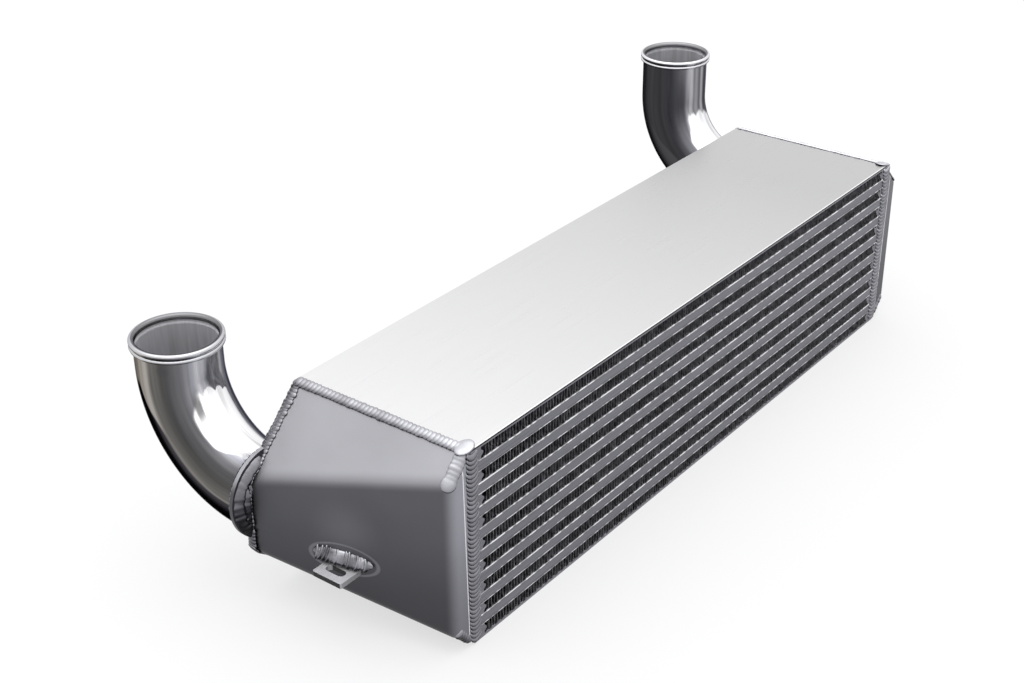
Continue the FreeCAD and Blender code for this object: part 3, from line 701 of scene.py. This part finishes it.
def fold_strip(fins, run, shift, name):
    """One strip of folded foil across the core, run long, its folds moved by shift."""
    low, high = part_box("air_fins_1")
    height = high.z - low.z
    span = high.x - low.x
    waves = round(span / fins.pitch)
    pitch = span / waves
    lean = fins.lean
    flat = pitch / 2 - 2 * lean
    rise = height - fins.foil
    deselect()
    bpy.ops.mesh.primitive_plane_add(size=1, location=(0, 0, 0))
    strip = bpy.context.active_object
    strip.name = name
    strip.scale = (flat, run, 1)
    strip.location = (low.x + lean + flat / 2 + shift, 0, fins.foil / 2)
    settle(strip)
    bpy.ops.object.mode_set(mode="EDIT")
    bpy.ops.mesh.select_mode(type="VERT")
    bpy.ops.mesh.select_all(action="DESELECT")
    bpy.ops.object.mode_set(mode="OBJECT")
    edge = max(vertex.co.x for vertex in strip.data.vertices)
    for vertex in strip.data.vertices:
        vertex.select = abs(vertex.co.x - edge) < TOUCH
    bpy.ops.object.mode_set(mode="EDIT")
    bpy.ops.mesh.select_mode(type="EDGE")
    for step in ((2 * lean, 0, rise), (flat, 0, 0), (2 * lean, 0, -rise)):
        bpy.ops.mesh.extrude_region_move(TRANSFORM_OT_translate={"value": step})
    bpy.ops.object.mode_set(mode="OBJECT")
    folds = strip.modifiers.new("folds", "ARRAY")
    folds.use_relative_offset = False
    folds.use_constant_offset = True
    folds.constant_offset_displace = (pitch, 0, 0)
    folds.count = waves - (1 if shift else 0)
    folds.use_merge_vertices = True
    folds.merge_threshold = 10 * TOUCH
    foil = strip.modifiers.new("foil", "SOLIDIFY")
    foil.thickness = fins.foil
    foil.offset = 0
    apply_all(strip)
    return strip


def make_ripple(width, length, height, tilt):
    """One frozen ripple of a weld, in mm and degrees: a flat lens that lies back on the one
    before."""
    deselect()
    bpy.ops.mesh.primitive_uv_sphere_add(
        segments=18, ring_count=9, radius=0.5, location=(0, 0, 0)
    )
    disc = bpy.context.active_object
    disc.scale = (length * MM, width * MM, height * MM)
    settle(disc)
    disc.rotation_euler = (0, math.radians(tilt), 0)
    settle(disc)
    bpy.ops.object.shade_smooth()
    return disc


def curl(disc, angle):
    """Bends a ripple within its plane, so that its ends sweep forward."""
    disc.rotation_euler = (0, 0, math.pi / 2)
    settle(disc)
    bend = disc.modifiers.new("curl", "SIMPLE_DEFORM")
    bend.deform_method = "BEND"
    bend.deform_axis = "Z"
    bend.angle = angle
    apply_all(disc)
    disc.rotation_euler = (0, 0, -math.pi / 2)
    settle(disc)
    return disc


def lay_ripples(name, disc, stations, wobble, dice):
    """Copies of a ripple at each station (place, along, up), a little uneven."""
    copies = []
    for place, along, up in stations:
        along = along.normalized()
        across = up.cross(along).normalized()
        upright = along.cross(across)
        turn = Matrix((along, across, upright)).transposed().to_4x4()
        size = 1 + wobble * dice.uniform(-1, 1)
        swing = Matrix.Rotation(wobble * dice.uniform(-1, 1), 4, "Z")
        slide = Matrix.Translation((0, wobble * dice.uniform(-1, 1) * 2 * MM, 0))
        copy = disc.copy()
        copy.data = disc.data.copy()
        bpy.context.collection.objects.link(copy)
        copy.matrix_world = (
            Matrix.Translation(place) @ turn @ slide @ swing @ Matrix.Diagonal((1, size, size, 1))
        )
        copies.append(copy)
    bead = join(copies, name)
    settle(bead)
    return bead


def drop(piece):
    """Removes a piece that was only a pattern for copies."""
    mesh = piece.data
    bpy.data.objects.remove(piece)
    bpy.data.meshes.remove(mesh)


def along_line(start, end, up, pitch):
    """Stations from start to end, a pitch apart."""
    run = end - start
    count = max(round(run.length / pitch), 1)
    return [(start + run * (k / count), run, up) for k in range(count + 1)]


def wall_reach(y):
    """How far a tank's outer wall stands from the core's end, at y."""
    share = (y - CORE_FRONT) / (CORE_BACK - CORE_FRONT)
    return TANK_FRONT_REACH + share * (TANK_BACK_REACH - TANK_FRONT_REACH)


def melt(piece, voxel, rounds):
    """Runs overlapping lumps into one skin."""
    skin = piece.modifiers.new("skin", "REMESH")
    skin.mode = "VOXEL"
    skin.voxel_size = voxel
    skin.use_smooth_shade = True
    ease = piece.modifiers.new("ease", "SMOOTH")
    ease.factor = 0.5
    ease.iterations = rounds
    apply_all(piece)
    return piece


def arc(centre, start, turn, steps, wide, high):
    """Points of a round or flattened arc in a half section, as (out, up)."""
    angles = [start + turn * k / steps for k in range(steps + 1)]
    return [
        (centre[0] + wide * math.cos(angle), centre[1] + high * math.sin(angle))
        for angle in angles
    ]


def rim_profile(top):
    """Half section of a pipe's upright end, as (distance from axis, height), from the
    inner wall round the lip to the outer wall."""
    outer, inner = PIPE_RADIUS, PIPE_RADIUS - PIPE_WALL
    quarter = math.pi / 2
    bead = top - BEAD_DROP
    groove, swell = 1.6 * MM, LIP_RADIUS - outer
    points = [(inner, ELBOW_RADIUS)]
    points += arc((inner, bead), -quarter, math.pi, 8, groove, BEAD_ROLL * 0.9)

    # The bore flares a little into the lip, whose end stops just short of the tube
    points += [
        (inner, top - 1.2 * LIP_ROLL), (inner + 0.5 * MM, top - 0.85 * MM),
        (inner + 1.3 * MM, top - 0.25 * MM),
    ]
    lip = (LIP_RADIUS - LIP_ROLL, top - LIP_ROLL)
    points += arc(lip, quarter, -math.pi, 10, LIP_ROLL, LIP_ROLL)
    points.append((outer + 0.35 * MM, top - 2 * LIP_ROLL - 0.05 * MM))
    points += arc((outer, bead), quarter, -math.pi, 8, swell, BEAD_ROLL)
    points.append((outer, ELBOW_RADIUS))
    return points


def tube_place(side, place):
    """Where a point of a pipe lies: across and inwards from the tube's axis, and along it."""
    root, _ = PIPE_RUNS[side]
    start = CORE_BACK + root
    pivot_z = PIPE_HEIGHT + ELBOW_RADIUS
    if place.z >= pivot_z:
        inward = start + ELBOW_RADIUS - place.y
        length = root + ELBOW_RADIUS * math.pi / 2 + place.z - pivot_z
    elif place.y <= start:
        inward, length = place.z - PIPE_HEIGHT, place.y - CORE_BACK
    else:
        inward = ELBOW_RADIUS - math.hypot(place.y - start, pivot_z - place.z)
        length = root + ELBOW_RADIUS * math.atan2(place.y - start, pivot_z - place.z)
    return side * (CORE_END + PIPE_OFFSET) - place.x, inward, length


def pipe_flow(side, place):
    """Where a point of a pipe lies round the tube (0 to 1) and along it, in metres."""
    across, inward, length = tube_place(side, place)
    return math.atan2(inward, across) / (2 * math.pi) + 0.5, length


def inside_bore(side, place):
    """True where a point lies on the tube's inner wall, below the lip."""
    across, inward, _ = tube_place(side, place)
    out = math.hypot(across, inward)
    pivot_z = PIPE_HEIGHT + ELBOW_RADIUS
    if place.z < pivot_z:
        return out < PIPE_RADIUS - PIPE_WALL / 2
    below = pivot_z + PIPE_RUNS[side][1] - 2.2 * LIP_ROLL
    return place.z < below and out < PIPE_RADIUS - 0.3 * MM


def unwrap_pipe(piece, side):
    """A UV map that runs round and along the tube."""
    layer = piece.data.uv_layers.new(name="flow")
    mesh = piece.data
    for face in mesh.polygons:
        spots = [
            pipe_flow(side, mesh.vertices[mesh.loops[k].vertex_index].co)
            for k in face.loop_indices
        ]
        wraps = max(u for u, _ in spots) - min(u for u, _ in spots) > 0.5
        for k, (u, v) in zip(face.loop_indices, spots):
            layer.data[k].uv = (u + 1 if wraps and u < 0.5 else u, v)


def make_pipe(side):
    """A pipe from its root to its lip: two rings spun round the bend, then a spun rim."""
    root, top = PIPE_RUNS[side]
    axis_x = side * (CORE_END + PIPE_OFFSET)
    start = CORE_BACK + root
    pivot = (axis_x, start, PIPE_HEIGHT + ELBOW_RADIUS)
    walls = []
    for radius in (PIPE_RADIUS, PIPE_RADIUS - PIPE_WALL):
        deselect()
        bpy.ops.mesh.primitive_circle_add(
            vertices=ROUND_STEPS, radius=radius, fill_type="NOTHING",
            location=(axis_x, CORE_BACK, PIPE_HEIGHT), rotation=(math.pi / 2, 0, 0),
        )
        wall = bpy.context.active_object
        settle(wall)
        bpy.ops.object.mode_set(mode="EDIT")
        bpy.ops.mesh.select_all(action="SELECT")
        bpy.ops.mesh.extrude_region_move(TRANSFORM_OT_translate={"value": (0, root, 0)})
        bpy.ops.mesh.spin(
            steps=BEND_STEPS, angle=-math.pi / 2, center=pivot, axis=(1, 0, 0),
            use_auto_merge=True,
        )
        bpy.ops.object.mode_set(mode="OBJECT")
        walls.append(wall)
    mesh = bpy.data.meshes.new("rim_section")
    section = [
        (axis_x + out, start + ELBOW_RADIUS, PIPE_HEIGHT + up)
        for out, up in rim_profile(ELBOW_RADIUS + top)
    ]
    mesh.from_pydata(section, [(k, k + 1) for k in range(len(section) - 1)], [])
    rim = bpy.data.objects.new("rim", mesh)
    bpy.context.collection.objects.link(rim)
    only(rim)
    bpy.ops.object.mode_set(mode="EDIT")
    bpy.ops.mesh.select_all(action="SELECT")
    bpy.ops.mesh.spin(
        steps=ROUND_STEPS, angle=2 * math.pi, center=(axis_x, start + ELBOW_RADIUS, 0),
        axis=(0, 0, 1), use_auto_merge=True,
    )
    bpy.ops.object.mode_set(mode="OBJECT")
    pipe = join([*walls, rim], SIDES[side] + "_polished_pipe")
    bpy.ops.object.mode_set(mode="EDIT")
    bpy.ops.mesh.select_all(action="SELECT")
    bpy.ops.mesh.remove_doubles(threshold=0.05 * MM)
    bpy.ops.mesh.select_all(action="DESELECT")
    bpy.ops.mesh.select_non_manifold(
        extend=False, use_wire=False, use_multi_face=False, use_non_contiguous=False,
        use_verts=False,
    )
    bpy.ops.mesh.bridge_edge_loops()
    bpy.ops.mesh.select_all(action="SELECT")
    bpy.ops.mesh.normals_make_consistent(inside=False)
    bpy.ops.object.mode_set(mode="OBJECT")
    bpy.ops.object.shade_smooth_by_angle(angle=math.radians(38))
    unwrap_pipe(pipe, side)
    return pipe


# Settings


def colour_setting(name, description, code):
    """A colour that a user can change, given as an sRGB hex value."""
    return bpy.props.FloatVectorProperty(
        name=name, description=description, subtype="COLOR", min=0, max=1, default=linear(code)
    )


def length_setting(name, description, default, least):
    """A length that a user can change."""
    return bpy.props.FloatProperty(
        name=name, description=description, subtype="DISTANCE", unit="LENGTH",
        default=default, min=least,
    )


class CoolerColours(bpy.types.PropertyGroup):
    """The colours of the metals"""

    plate: colour_setting("Plate", "Rolled plates of the core", "E3E3E4")
    # The tank sheet's three colours are painted light and shade by facing
    sheet_lit_top: colour_setting("Tank top", "Tank sheet where it faces up", "A8A8AD")
    sheet_front_shade: colour_setting(
        "Tank front", "Tank sheet where it faces the finned side", "8A8A91"
    )
    sheet_side_shade: colour_setting("Tank side", "Tank sheet where it faces level or down", "525256")
    bar: colour_setting("Bars", "Bars that close the tubes", "7C7C83")
    edge: colour_setting("Sheet edges", "Parting sheets between bars and fins", "F4F4F6")
    fin: colour_setting("Fins", "Folded air fins", "B4B4BA")
    weld: colour_setting("Welds", "Weld beads", "F4F4F7")
    tab: colour_setting("Tabs", "Mounting tabs", "DEDEE2")
    # Painted highlight colour of the light patch in each pipe's bend
    pipe_highlight: colour_setting("Pipe top", "Polished pipe where it faces up", "F0F0F2")
    # Painted dark reflection colour of the pipe's band, also the near pipe's tool mark
    pipe_dark_reflection_and_mark: colour_setting("Pipe underside", "Polished pipe where it faces down", "4A494B")
    bore: colour_setting("Bore", "Inside of the pipes", "C8C8CC")


class FinSizes(bpy.types.PropertyGroup):
    """The sizes of the folded air fins"""

    pitch: length_setting("Pitch", "Length of one whole fold", 6.6 * MM, 2 * MM)
    foil: length_setting("Foil", "Thickness of the foil", 0.3 * MM, 0.1 * MM)
    lean: length_setting("Lean", "Half of how far each leg leans", 0.3 * MM, 0.0)
    lance: length_setting(
        "Lance", "Depth of the offset strips at the front and back", 9 * MM, 2 * MM
    )
    recess: length_setting("Recess", "How far the fins stand behind the bars", 0.5 * MM, 0.0)


class WeldSizes(bpy.types.PropertyGroup):
    """The sizes of the weld beads"""

    front_pitch: length_setting(
        "Upright ripple pitch", "Ripple spacing of the upright beads", 3.5 * MM, 1 * MM
    )
    top_pitch: length_setting(
        "Cross ripple pitch", "Ripple spacing of the top and bottom beads", 3.5 * MM, 1 * MM
    )
    top_width: length_setting("Cross width", "Width of the top and bottom beads", 8.6 * MM, 3 * MM)
    wobble: bpy.props.FloatProperty(
        name="Unevenness", description="How far the ripples stray", default=0.06,
        min=0.0, max=0.5, subtype="FACTOR",
    )


class StudioSettings(bpy.types.PropertyGroup):
    """The floor and the light"""

    floor: colour_setting("Floor", "Floor colour", "DCDCDE")
    softness: bpy.props.FloatProperty(
        name="Shadow softness", description="How far the floor's own white hides the shadow",
        default=0.65, min=0, max=1, subtype="FACTOR",
    )
    brightness: bpy.props.FloatProperty(
        name="Sky brightness", description="Scales the soft light all round", default=1.0, min=0
    )


# Operators


class INTERCOOLER_OT_finishes(bpy.types.Operator):
    """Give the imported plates, bars, tanks and tabs their finishes"""

    bl_idname = "intercooler.finishes"
    bl_label = "Core and tank finishes"

    def execute(self, context):
        colours = context.scene.cooler_colours
        plate, sheet = rolled_plate(colours), mill_sheet(colours)
        bar, edge = brazed_bar(colours), clad_sheet(colours)
        foil, tab = fin_foil(colours), machined_tab(colours)
        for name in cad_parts:
            if name.startswith("core_"):
                paint(name, plate)
                soften_edges(name, 0.4 * MM)
            elif name.startswith("parting_"):
                paint(name, edge)
            elif "_bar" in name:
                paint(name, bar)
            elif name.startswith("turbulator_"):
                paint(name, foil)
            elif name.endswith(("_tank", "_back_panel")):
                paint(name, sheet)
            elif name.endswith("_tab"):
                paint(name, tab)
                soften_edges(name, 0.5 * MM)
        return {"FINISHED"}


class INTERCOOLER_OT_air_fins(bpy.types.Operator):
    """Fold the nine rows of air fins, with offset strips at the front and the back"""

    bl_idname = "intercooler.air_fins"
    bl_label = "Air fins"

    def execute(self, context):
        fins = context.scene.cooler_fins
        foil = fin_foil(context.scene.cooler_colours)
        low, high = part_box("air_fins_1")
        front, back = CORE_FRONT + fins.recess, CORE_BACK - fins.recess
        cuts = [front, front + fins.lance, front + 2 * fins.lance]
        cuts += [back - 2 * fins.lance, back - fins.lance, back]
        strips = []
        for number, (start, end) in enumerate(zip(cuts, cuts[1:])):
            shift = fins.pitch / 4 if number % 2 else 0
            strip = fold_strip(fins, end - start, shift, "strip_%d" % number)
            strip.location.y = (start + end) / 2
            settle(strip)
            strips.append(strip)
        row = join(strips, "air_fin_row_1")
        for number in range(1, FIN_ROWS + 1):
            copy = row if number == FIN_ROWS else row.copy()
            if copy is not row:
                copy.data = row.data.copy()
                context.collection.objects.link(copy)
            copy.name = copy.data.name = "folded_fin_row_%d" % number
            copy.location.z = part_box("air_fins_%d" % number)[0].z
            dress(copy, "air_fin", foil, nodes=["air_fins_%d" % number])
        return {"FINISHED"}


class INTERCOOLER_OT_pipes(bpy.types.Operator):
    """Spin the two polished pipes with their beads and rolled lips"""

    bl_idname = "intercooler.pipes"
    bl_label = "Pipes"

    def execute(self, context):
        colours = context.scene.cooler_colours
        bore = drawn_bore(colours)
        for side, word in SIDES.items():
            skin = polished_tube(colours, side)
            pipe = make_pipe(side)
            for face in pipe.data.polygons:
                face.material_index = 1 if inside_bore(side, face.center) else 0
            dress(pipe, "pipe", skin, bore, nodes=[word + "_pipe"])
        return {"FINISHED"}


class INTERCOOLER_OT_core_welds(bpy.types.Operator):
    """Lay the rippled beads round the joints of the core and the tanks"""

    bl_idname = "intercooler.core_welds"
    bl_label = "Core welds"

    def execute(self, context):
        welds = context.scene.cooler_welds
        colours = context.scene.cooler_colours
        # The far beads get a copy with milder painted shade and none towards the back
        metals = {
            NEAR: weld_metal(colours),
            FAR: weld_metal(colours, "even_weld_metal", tones=FAR_WELD_SHADE_TONES, back=1.0),
        }
        dice = random.Random(7)
        upright = curl(make_ripple(*RIPPLES["upright"]), UPRIGHT_CURL)
        cross = make_ripple(welds.top_width / MM, welds.top_pitch * 2.3 / MM, 3.4, 11)
        under = make_ripple(5.4, welds.top_pitch * 1.6 / MM, 2.2, 14)
        for side, word in SIDES.items():
            beads = []

            # Down the core's corners, at the front and the back
            middle = side * (CORE_END - 1.2 * MM)
            for y, outward in ((CORE_FRONT, -1), (CORE_BACK, 1)):
                start = Vector((middle, y, 3.6 * MM))
                end = Vector((middle, y, CORE_TOP - 6 * MM))
                stations = along_line(start, end, Vector((0, outward, 0)), welds.front_pitch)
                beads.append(lay_ripples("bead", upright, stations, welds.wobble, dice))

            # Across the top, sunk a little into the joint, and across the underside
            lean = Vector((side * 0.4, 0, 1)).normalized()
            sunk, out = CROSS_SEATS[side]
            rows = (CORE_FRONT + 4.5 * MM, CORE_BACK - 3.5 * MM)
            ends = [Vector((side * (CORE_END + out), y, CORE_TOP - sunk)) for y in rows]
            stations = along_line(ends[0], ends[1], lean, welds.top_pitch)
            beads.append(lay_ripples("bead", cross, stations, welds.wobble, dice))
            low = Vector((side * 0.4, 0, -1)).normalized()
            ends = [Vector((side * (CORE_END + 2.6 * MM), y, 2.4 * MM)) for y in rows]
            stations = along_line(ends[0], ends[1], low, welds.top_pitch)
            beads.append(lay_ripples("bead", under, stations, welds.wobble, dice))
            bead = join(beads, word + "_core_beads")
            dress(bead, "weld_bead", metals[side], nodes=[word + "_core_weld"])
        for disc in (upright, cross, under):
            drop(disc)
        return {"FINISHED"}


class INTERCOOLER_OT_tank_welds(bpy.types.Operator):
    """Lay the beads over the tanks' front corners and round their back panels"""

    bl_idname = "intercooler.tank_welds"
    bl_label = "Tank welds"

    def execute(self, context):
        welds = context.scene.cooler_welds
        metal = weld_metal(context.scene.cooler_colours)
        # A darker copy of the weld metal: painted shade for the fill before each lobe
        darker_weld = weld_metal(context.scene.cooler_colours, "painted_shade_weld_metal", 0.75)
        dice = random.Random(11)
        for side, word in SIDES.items():
            self.lay_mitres(side, word, metal, dice)
            self.lay_panel_bead(side, word, welds, metal, darker_weld, dice)
        return {"FINISHED"}

    def lay_mitres(self, side, word, metal, dice):
        """Broad smooth beads over the corners where the front strip meets the slopes, with
        a puddle where the upper one starts on the core's corner."""
        names = ("mitre", "mitre_end", "puddle", "lower_mitre")
        disc, blob, puddle, small = [make_ripple(*RIPPLES[name]) for name in names]
        start = Vector((side * (CORE_END + 3 * MM), CORE_FRONT + 5 * MM, CORE_TOP - 3.4 * MM))
        end = Vector((side * (CORE_END + 18.2 * MM), CORE_FRONT + 4.4 * MM, CORE_TOP - 18.6 * MM))
        lean = Vector((side * 0.62, -0.45, 0.64)).normalized()
        run = end - start
        ripples = along_line(start, end, lean, 3.4 * MM)
        pieces = [
            lay_ripples("mitre", disc, ripples[:-1], 0.05, dice),
            lay_ripples("mitre", blob, [(end, run, lean)], 0.0, dice),
        ]
        sunk, out = PUDDLE_SEATS[side]
        corner = Vector((side * (CORE_END + out), CORE_FRONT + 5.8 * MM, CORE_TOP - sunk))
        level = Vector((side * 0.25, -0.12, 1)).normalized()
        pieces.append(
            lay_ripples("mitre", puddle, [(corner, Vector((0, 1, 0)), level)], 0.0, dice)
        )
        upper = melt(join(pieces, "mitre"), 0.5 * MM, 9)

        low = Vector((side * (CORE_END + 6 * MM), CORE_FRONT + 1.4 * MM, 7.6 * MM))
        tip = Vector((side * (CORE_END + 15.4 * MM), CORE_FRONT + 1.4 * MM, 18 * MM))
        lean = Vector((side * 0.3, -0.85, 0.5)).normalized()
        lower = lay_ripples("mitre", small, along_line(low, tip, lean, 3.2 * MM), 0.08, dice)
        lower = melt(lower, 0.45 * MM, 4)
        for piece in (disc, blob, puddle, small):
            drop(piece)
        dress(join([upper, lower], word + "_corner_beads"), "weld_bead", metal)

    def lay_panel_bead(self, side, word, welds, metal, darker_weld, dice):
        """The bead that joins the tank's back edge to the panel, round its outline, and
        the weld that fills the corner in front of the panel's round lobe."""
        reach = TANK_BACK_REACH
        shoulder = CORE_TOP - reach * UPPER_SLOPE
        slope = (reach - 3 * MM) * LOWER_SLOPE
        outline = [
            (1.5 * MM, CORE_TOP - 1.5 * MM), (reach - 2 * MM, shoulder + 2 * MM),
            (reach, shoulder - 2 * MM), (reach, slope + 4 * MM), (reach - 3 * MM, slope),
            (2 * MM, 2.6 * MM),
        ]
        disc, fill = [make_ripple(*RIPPLES[name]) for name in ("panel", "lobe")]
        stations = []
        for (x, z), (x2, z2) in zip(outline, outline[1:]):
            start, end = Vector((side * x, 0, z)), Vector((side * x2, 0, z2))
            outward = Vector((0, side, 0)).cross((end - start).normalized())
            count = max(round((end - start).length / (3 * MM)), 1)
            for k in range(count):
                place = start.lerp(end, k / count) + outward * 0.2 * MM
                place += Vector((side * CORE_END, CORE_BACK - 2.6 * MM, 0))
                lean = (outward - Vector((0, 0.15, 0))).normalized()
                stations.append((place, end - start, lean))
        bead = lay_ripples("panel", disc, stations, welds.wobble * 2, dice)

        # Two arcs fill the corner: radius, and the angles where each starts and ends
        stations = []
        for radius, first, last in ((31 * MM, 74, -60), (24.5 * MM, 34, -34)):
            count = round(math.radians(first - last) * radius / (2.4 * MM))
            for k in range(count + 1):
                turn = math.radians(first + (last - first) * k / count)
                out = Vector((side * math.cos(turn), 0, math.sin(turn)))
                place = Vector((side * (CORE_END + PIPE_OFFSET), CORE_BACK, PIPE_HEIGHT))
                place += out * radius - Vector((0, PANEL_THICKNESS + 0.6 * MM, 0))
                along = Vector((side * math.sin(turn), 0, -math.cos(turn)))
                lean = Vector((side * 0.42, -0.68, 0.22 + 0.38 * math.sin(turn))).normalized()
                stations.append((place, along, lean))
        crescent = lay_ripples("crescent", fill, stations, welds.wobble * 3.5, dice)
        crescent = melt(crescent, 0.55 * MM, 9)
        # The fill takes the darker copy as painted shade
        for face in crescent.data.polygons:
            face.material_index = 1
        drop(disc)
        drop(fill)
        dress(join([bead, crescent], word + "_panel_bead"), "weld_bead", metal, darker_weld)


class INTERCOOLER_OT_fitting_welds(bpy.types.Operator):
    """Lay the ring at each pipe's root and the heavy bead over each tab"""

    bl_idname = "intercooler.fitting_welds"
    bl_label = "Pipe and tab welds"

    def execute(self, context):
        welds = context.scene.cooler_welds
        metal = weld_metal(context.scene.cooler_colours)
        # A copy mottled much darker at random, without the darker back, for the tabs' beads
        darker_weld = weld_metal(
            context.scene.cooler_colours, "dark_mottled_tab_weld", back=1.0, grime=0.3
        )
        dice = random.Random(23)
        for side, word in SIDES.items():
            centre = Vector((side * (CORE_END + PIPE_OFFSET), CORE_BACK + 1.2 * MM, PIPE_HEIGHT))
            stations = []
            for k in range(RING_RIPPLES):
                turn = 2 * math.pi * k / RING_RIPPLES
                out = Vector((math.cos(turn), 0, math.sin(turn)))
                along = Vector((-math.sin(turn), 0, math.cos(turn)))
                place = centre + out * (PIPE_RADIUS + 1.2 * MM)
                stations.append((place, along, (out + Vector((0, 1, 0))).normalized()))
            disc = make_ripple(*RIPPLES["pipe_ring"])
            ring = lay_ripples("ring", disc, stations, welds.wobble, dice)
            drop(disc)
            ring = join([ring], word + "_pipe_bead")
            dress(ring, "weld_bead", metal, nodes=[word + "_pipe_weld"])

            low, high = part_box(word + "_tab_weld")
            start_y, end_y = low.y + 2.4 * MM, high.y - 4.4 * MM
            start = Vector((side * (CORE_END + wall_reach(start_y) + 2 * MM), start_y, 61.4 * MM))
            end = Vector((side * (CORE_END + wall_reach(end_y) + 2 * MM), end_y, 62.6 * MM))
            lean = Vector((side * 0.84, -0.2, 0.5)).normalized()
            disc = curl(make_ripple(*RIPPLES["tab"]), TAB_CURL)
            core = make_ripple(*RIPPLES["tab_core"])
            sunk = Vector((side * 0.8 * MM, 0, 0.8 * MM))
            run, start, end = end - start, start - sunk, end - sunk
            bead = join([
                lay_ripples("tab", disc, along_line(start, end, lean, 3.3 * MM), 0.2, dice),
                lay_ripples("tab", core, [(start.lerp(end, 0.5), run, lean)], 0.0, dice),
            ], "tab")
            bead = melt(bead, 0.34 * MM, 1)
            drop(disc)
            drop(core)
            dress(join([bead], word + "_tab_bead"), "weld_bead", darker_weld, nodes=[word + "_tab_weld"])
        return {"FINISHED"}


class INTERCOOLER_OT_studio(bpy.types.Operator):
    """Lay the floor, light it softly and set the camera where the photograph's stood"""

    bl_idname = "intercooler.studio"
    bl_label = "Studio and camera"

    def execute(self, context):
        studio = context.scene.cooler_studio
        self.lay_floor(studio)
        self.light_sky(context, studio)
        self.set_camera(context)
        context.scene.view_settings.view_transform = "Standard"
        return {"FINISHED"}

    def lay_floor(self, studio):
        """A matt pale floor with a faint soft tone."""
        deselect()
        bpy.ops.mesh.primitive_plane_add(size=120, location=(0, 0, CAD_BOX[0].z - 0.2 * MM))
        floor = bpy.context.active_object
        floor.name = "studio_floor"
        settle(floor)
        material = bpy.data.materials.new("matt_paper_floor")
        material.use_nodes = True
        tree = material.node_tree
        paper = tree.nodes["Principled BSDF"]
        fibres = add_node(
            tree, "Mix", [grain(tree, (2, 2, 2)), toned(studio.floor, 0.985), toned(studio.floor)],
            **RGBA,
        )
        plug(tree, paper, {"Base Color": fibres, "Roughness": 0.9, "Specular IOR Level": 0.1})
        path = add_node(tree, "LightPath").outputs
        seen = [path["Is Camera Ray"], path["Is Glossy Ray"]]
        seen = add_node(tree, "Math", seen, operation="MAXIMUM")
        glow = add_node(tree, "Emission", [WHITE, 1.0])
        mix = add_node(tree, "MixShader", [product(tree, seen, studio.softness), paper, glow])
        plug(tree, tree.nodes["Material Output"], {"Surface": mix})
        floor.data.materials.append(material)

    def light_sky(self, context, studio):
        """A sky that brightens from the horizon up, brightest overhead."""
        world = bpy.data.worlds.new("soft_studio_sky")
        context.scene.world = world
        world.use_nodes = True
        tree = world.node_tree
        tree.nodes.clear()
        direction = add_node(tree, "TexCoord").outputs["Generated"]
        height = add_node(tree, "SeparateXYZ", [direction]).outputs["Z"]
        stops = [(at, toned(WHITE, light / SKY_PEAK)) for at, light in SKY_STOPS]
        tone = add_node(tree, "ValToRGB", [height], stops)
        sky = add_node(tree, "Background", [tone, SKY_PEAK * studio.brightness])
        plug(tree, add_node(tree, "OutputWorld"), {"Surface": sky})

    def set_camera(self, context):
        """A camera at the photograph's place, turned by azimuth, elevation and roll."""
        data = bpy.data.cameras.new("camera")
        data.sensor_width = SENSOR_WIDTH
        data.lens = CAMERA_FOCUS / IMAGE_WIDTH * SENSOR_WIDTH
        camera = bpy.data.objects.new("camera", data)
        context.collection.objects.link(camera)
        azimuth, elevation = CAMERA_AZIMUTH, CAMERA_ELEVATION
        level = math.cos(elevation)
        back = Vector((math.sin(azimuth) * level, -math.cos(azimuth) * level, math.sin(elevation)))
        right = Vector((math.cos(azimuth), math.sin(azimuth), 0))
        up = back.cross(right)
        roll = CAMERA_ROLL
        across = right * math.cos(roll) + up * math.sin(roll)
        upright = up * math.cos(roll) - right * math.sin(roll)
        turn = Matrix((across, upright, back)).transposed().to_4x4()
        camera.matrix_world = Matrix.Translation(CAMERA_PLACE) @ turn
        context.scene.camera = camera


STEPS = (
    INTERCOOLER_OT_finishes,
    INTERCOOLER_OT_air_fins,
    INTERCOOLER_OT_pipes,
    INTERCOOLER_OT_core_welds,
    INTERCOOLER_OT_tank_welds,
    INTERCOOLER_OT_fitting_welds,
    INTERCOOLER_OT_studio,
)
GROUPS = {
    "cooler_colours": CoolerColours,
    "cooler_fins": FinSizes,
    "cooler_welds": WeldSizes,
    "cooler_studio": StudioSettings,
}


class INTERCOOLER_PT_panel(bpy.types.Panel):
    """The settings and the steps that build the intercooler"""

    bl_idname = "INTERCOOLER_PT_panel"
    bl_label = "Intercooler"
    bl_space_type = "VIEW_3D"
    bl_region_type = "UI"
    bl_category = "Intercooler"

    def draw(self, context):
        for name, group in GROUPS.items():
            box = self.layout.box()
            for setting in group.__annotations__:
                box.prop(getattr(context.scene, name), setting)
        for step in STEPS:
            self.layout.operator(step.bl_idname)


def register():
    for group in GROUPS.values():
        bpy.utils.register_class(group)
    for name, group in GROUPS.items():
        setattr(bpy.types.Scene, name, bpy.props.PointerProperty(type=group))
    for step in STEPS:
        bpy.utils.register_class(step)
    bpy.utils.register_class(INTERCOOLER_PT_panel)


def unregister():
    bpy.utils.unregister_class(INTERCOOLER_PT_panel)
    for step in reversed(STEPS):
        bpy.utils.unregister_class(step)
    for name, group in reversed(GROUPS.items()):
        delattr(bpy.types.Scene, name)
        bpy.utils.unregister_class(group)


def main():
    register()
    bpy.ops.intercooler.finishes()
    bpy.ops.intercooler.air_fins()
    bpy.ops.intercooler.pipes()
    bpy.ops.intercooler.core_welds()
    bpy.ops.intercooler.tank_welds()
    bpy.ops.intercooler.fitting_welds()
    bpy.ops.intercooler.studio()


if __name__ == "__main__":
    main()
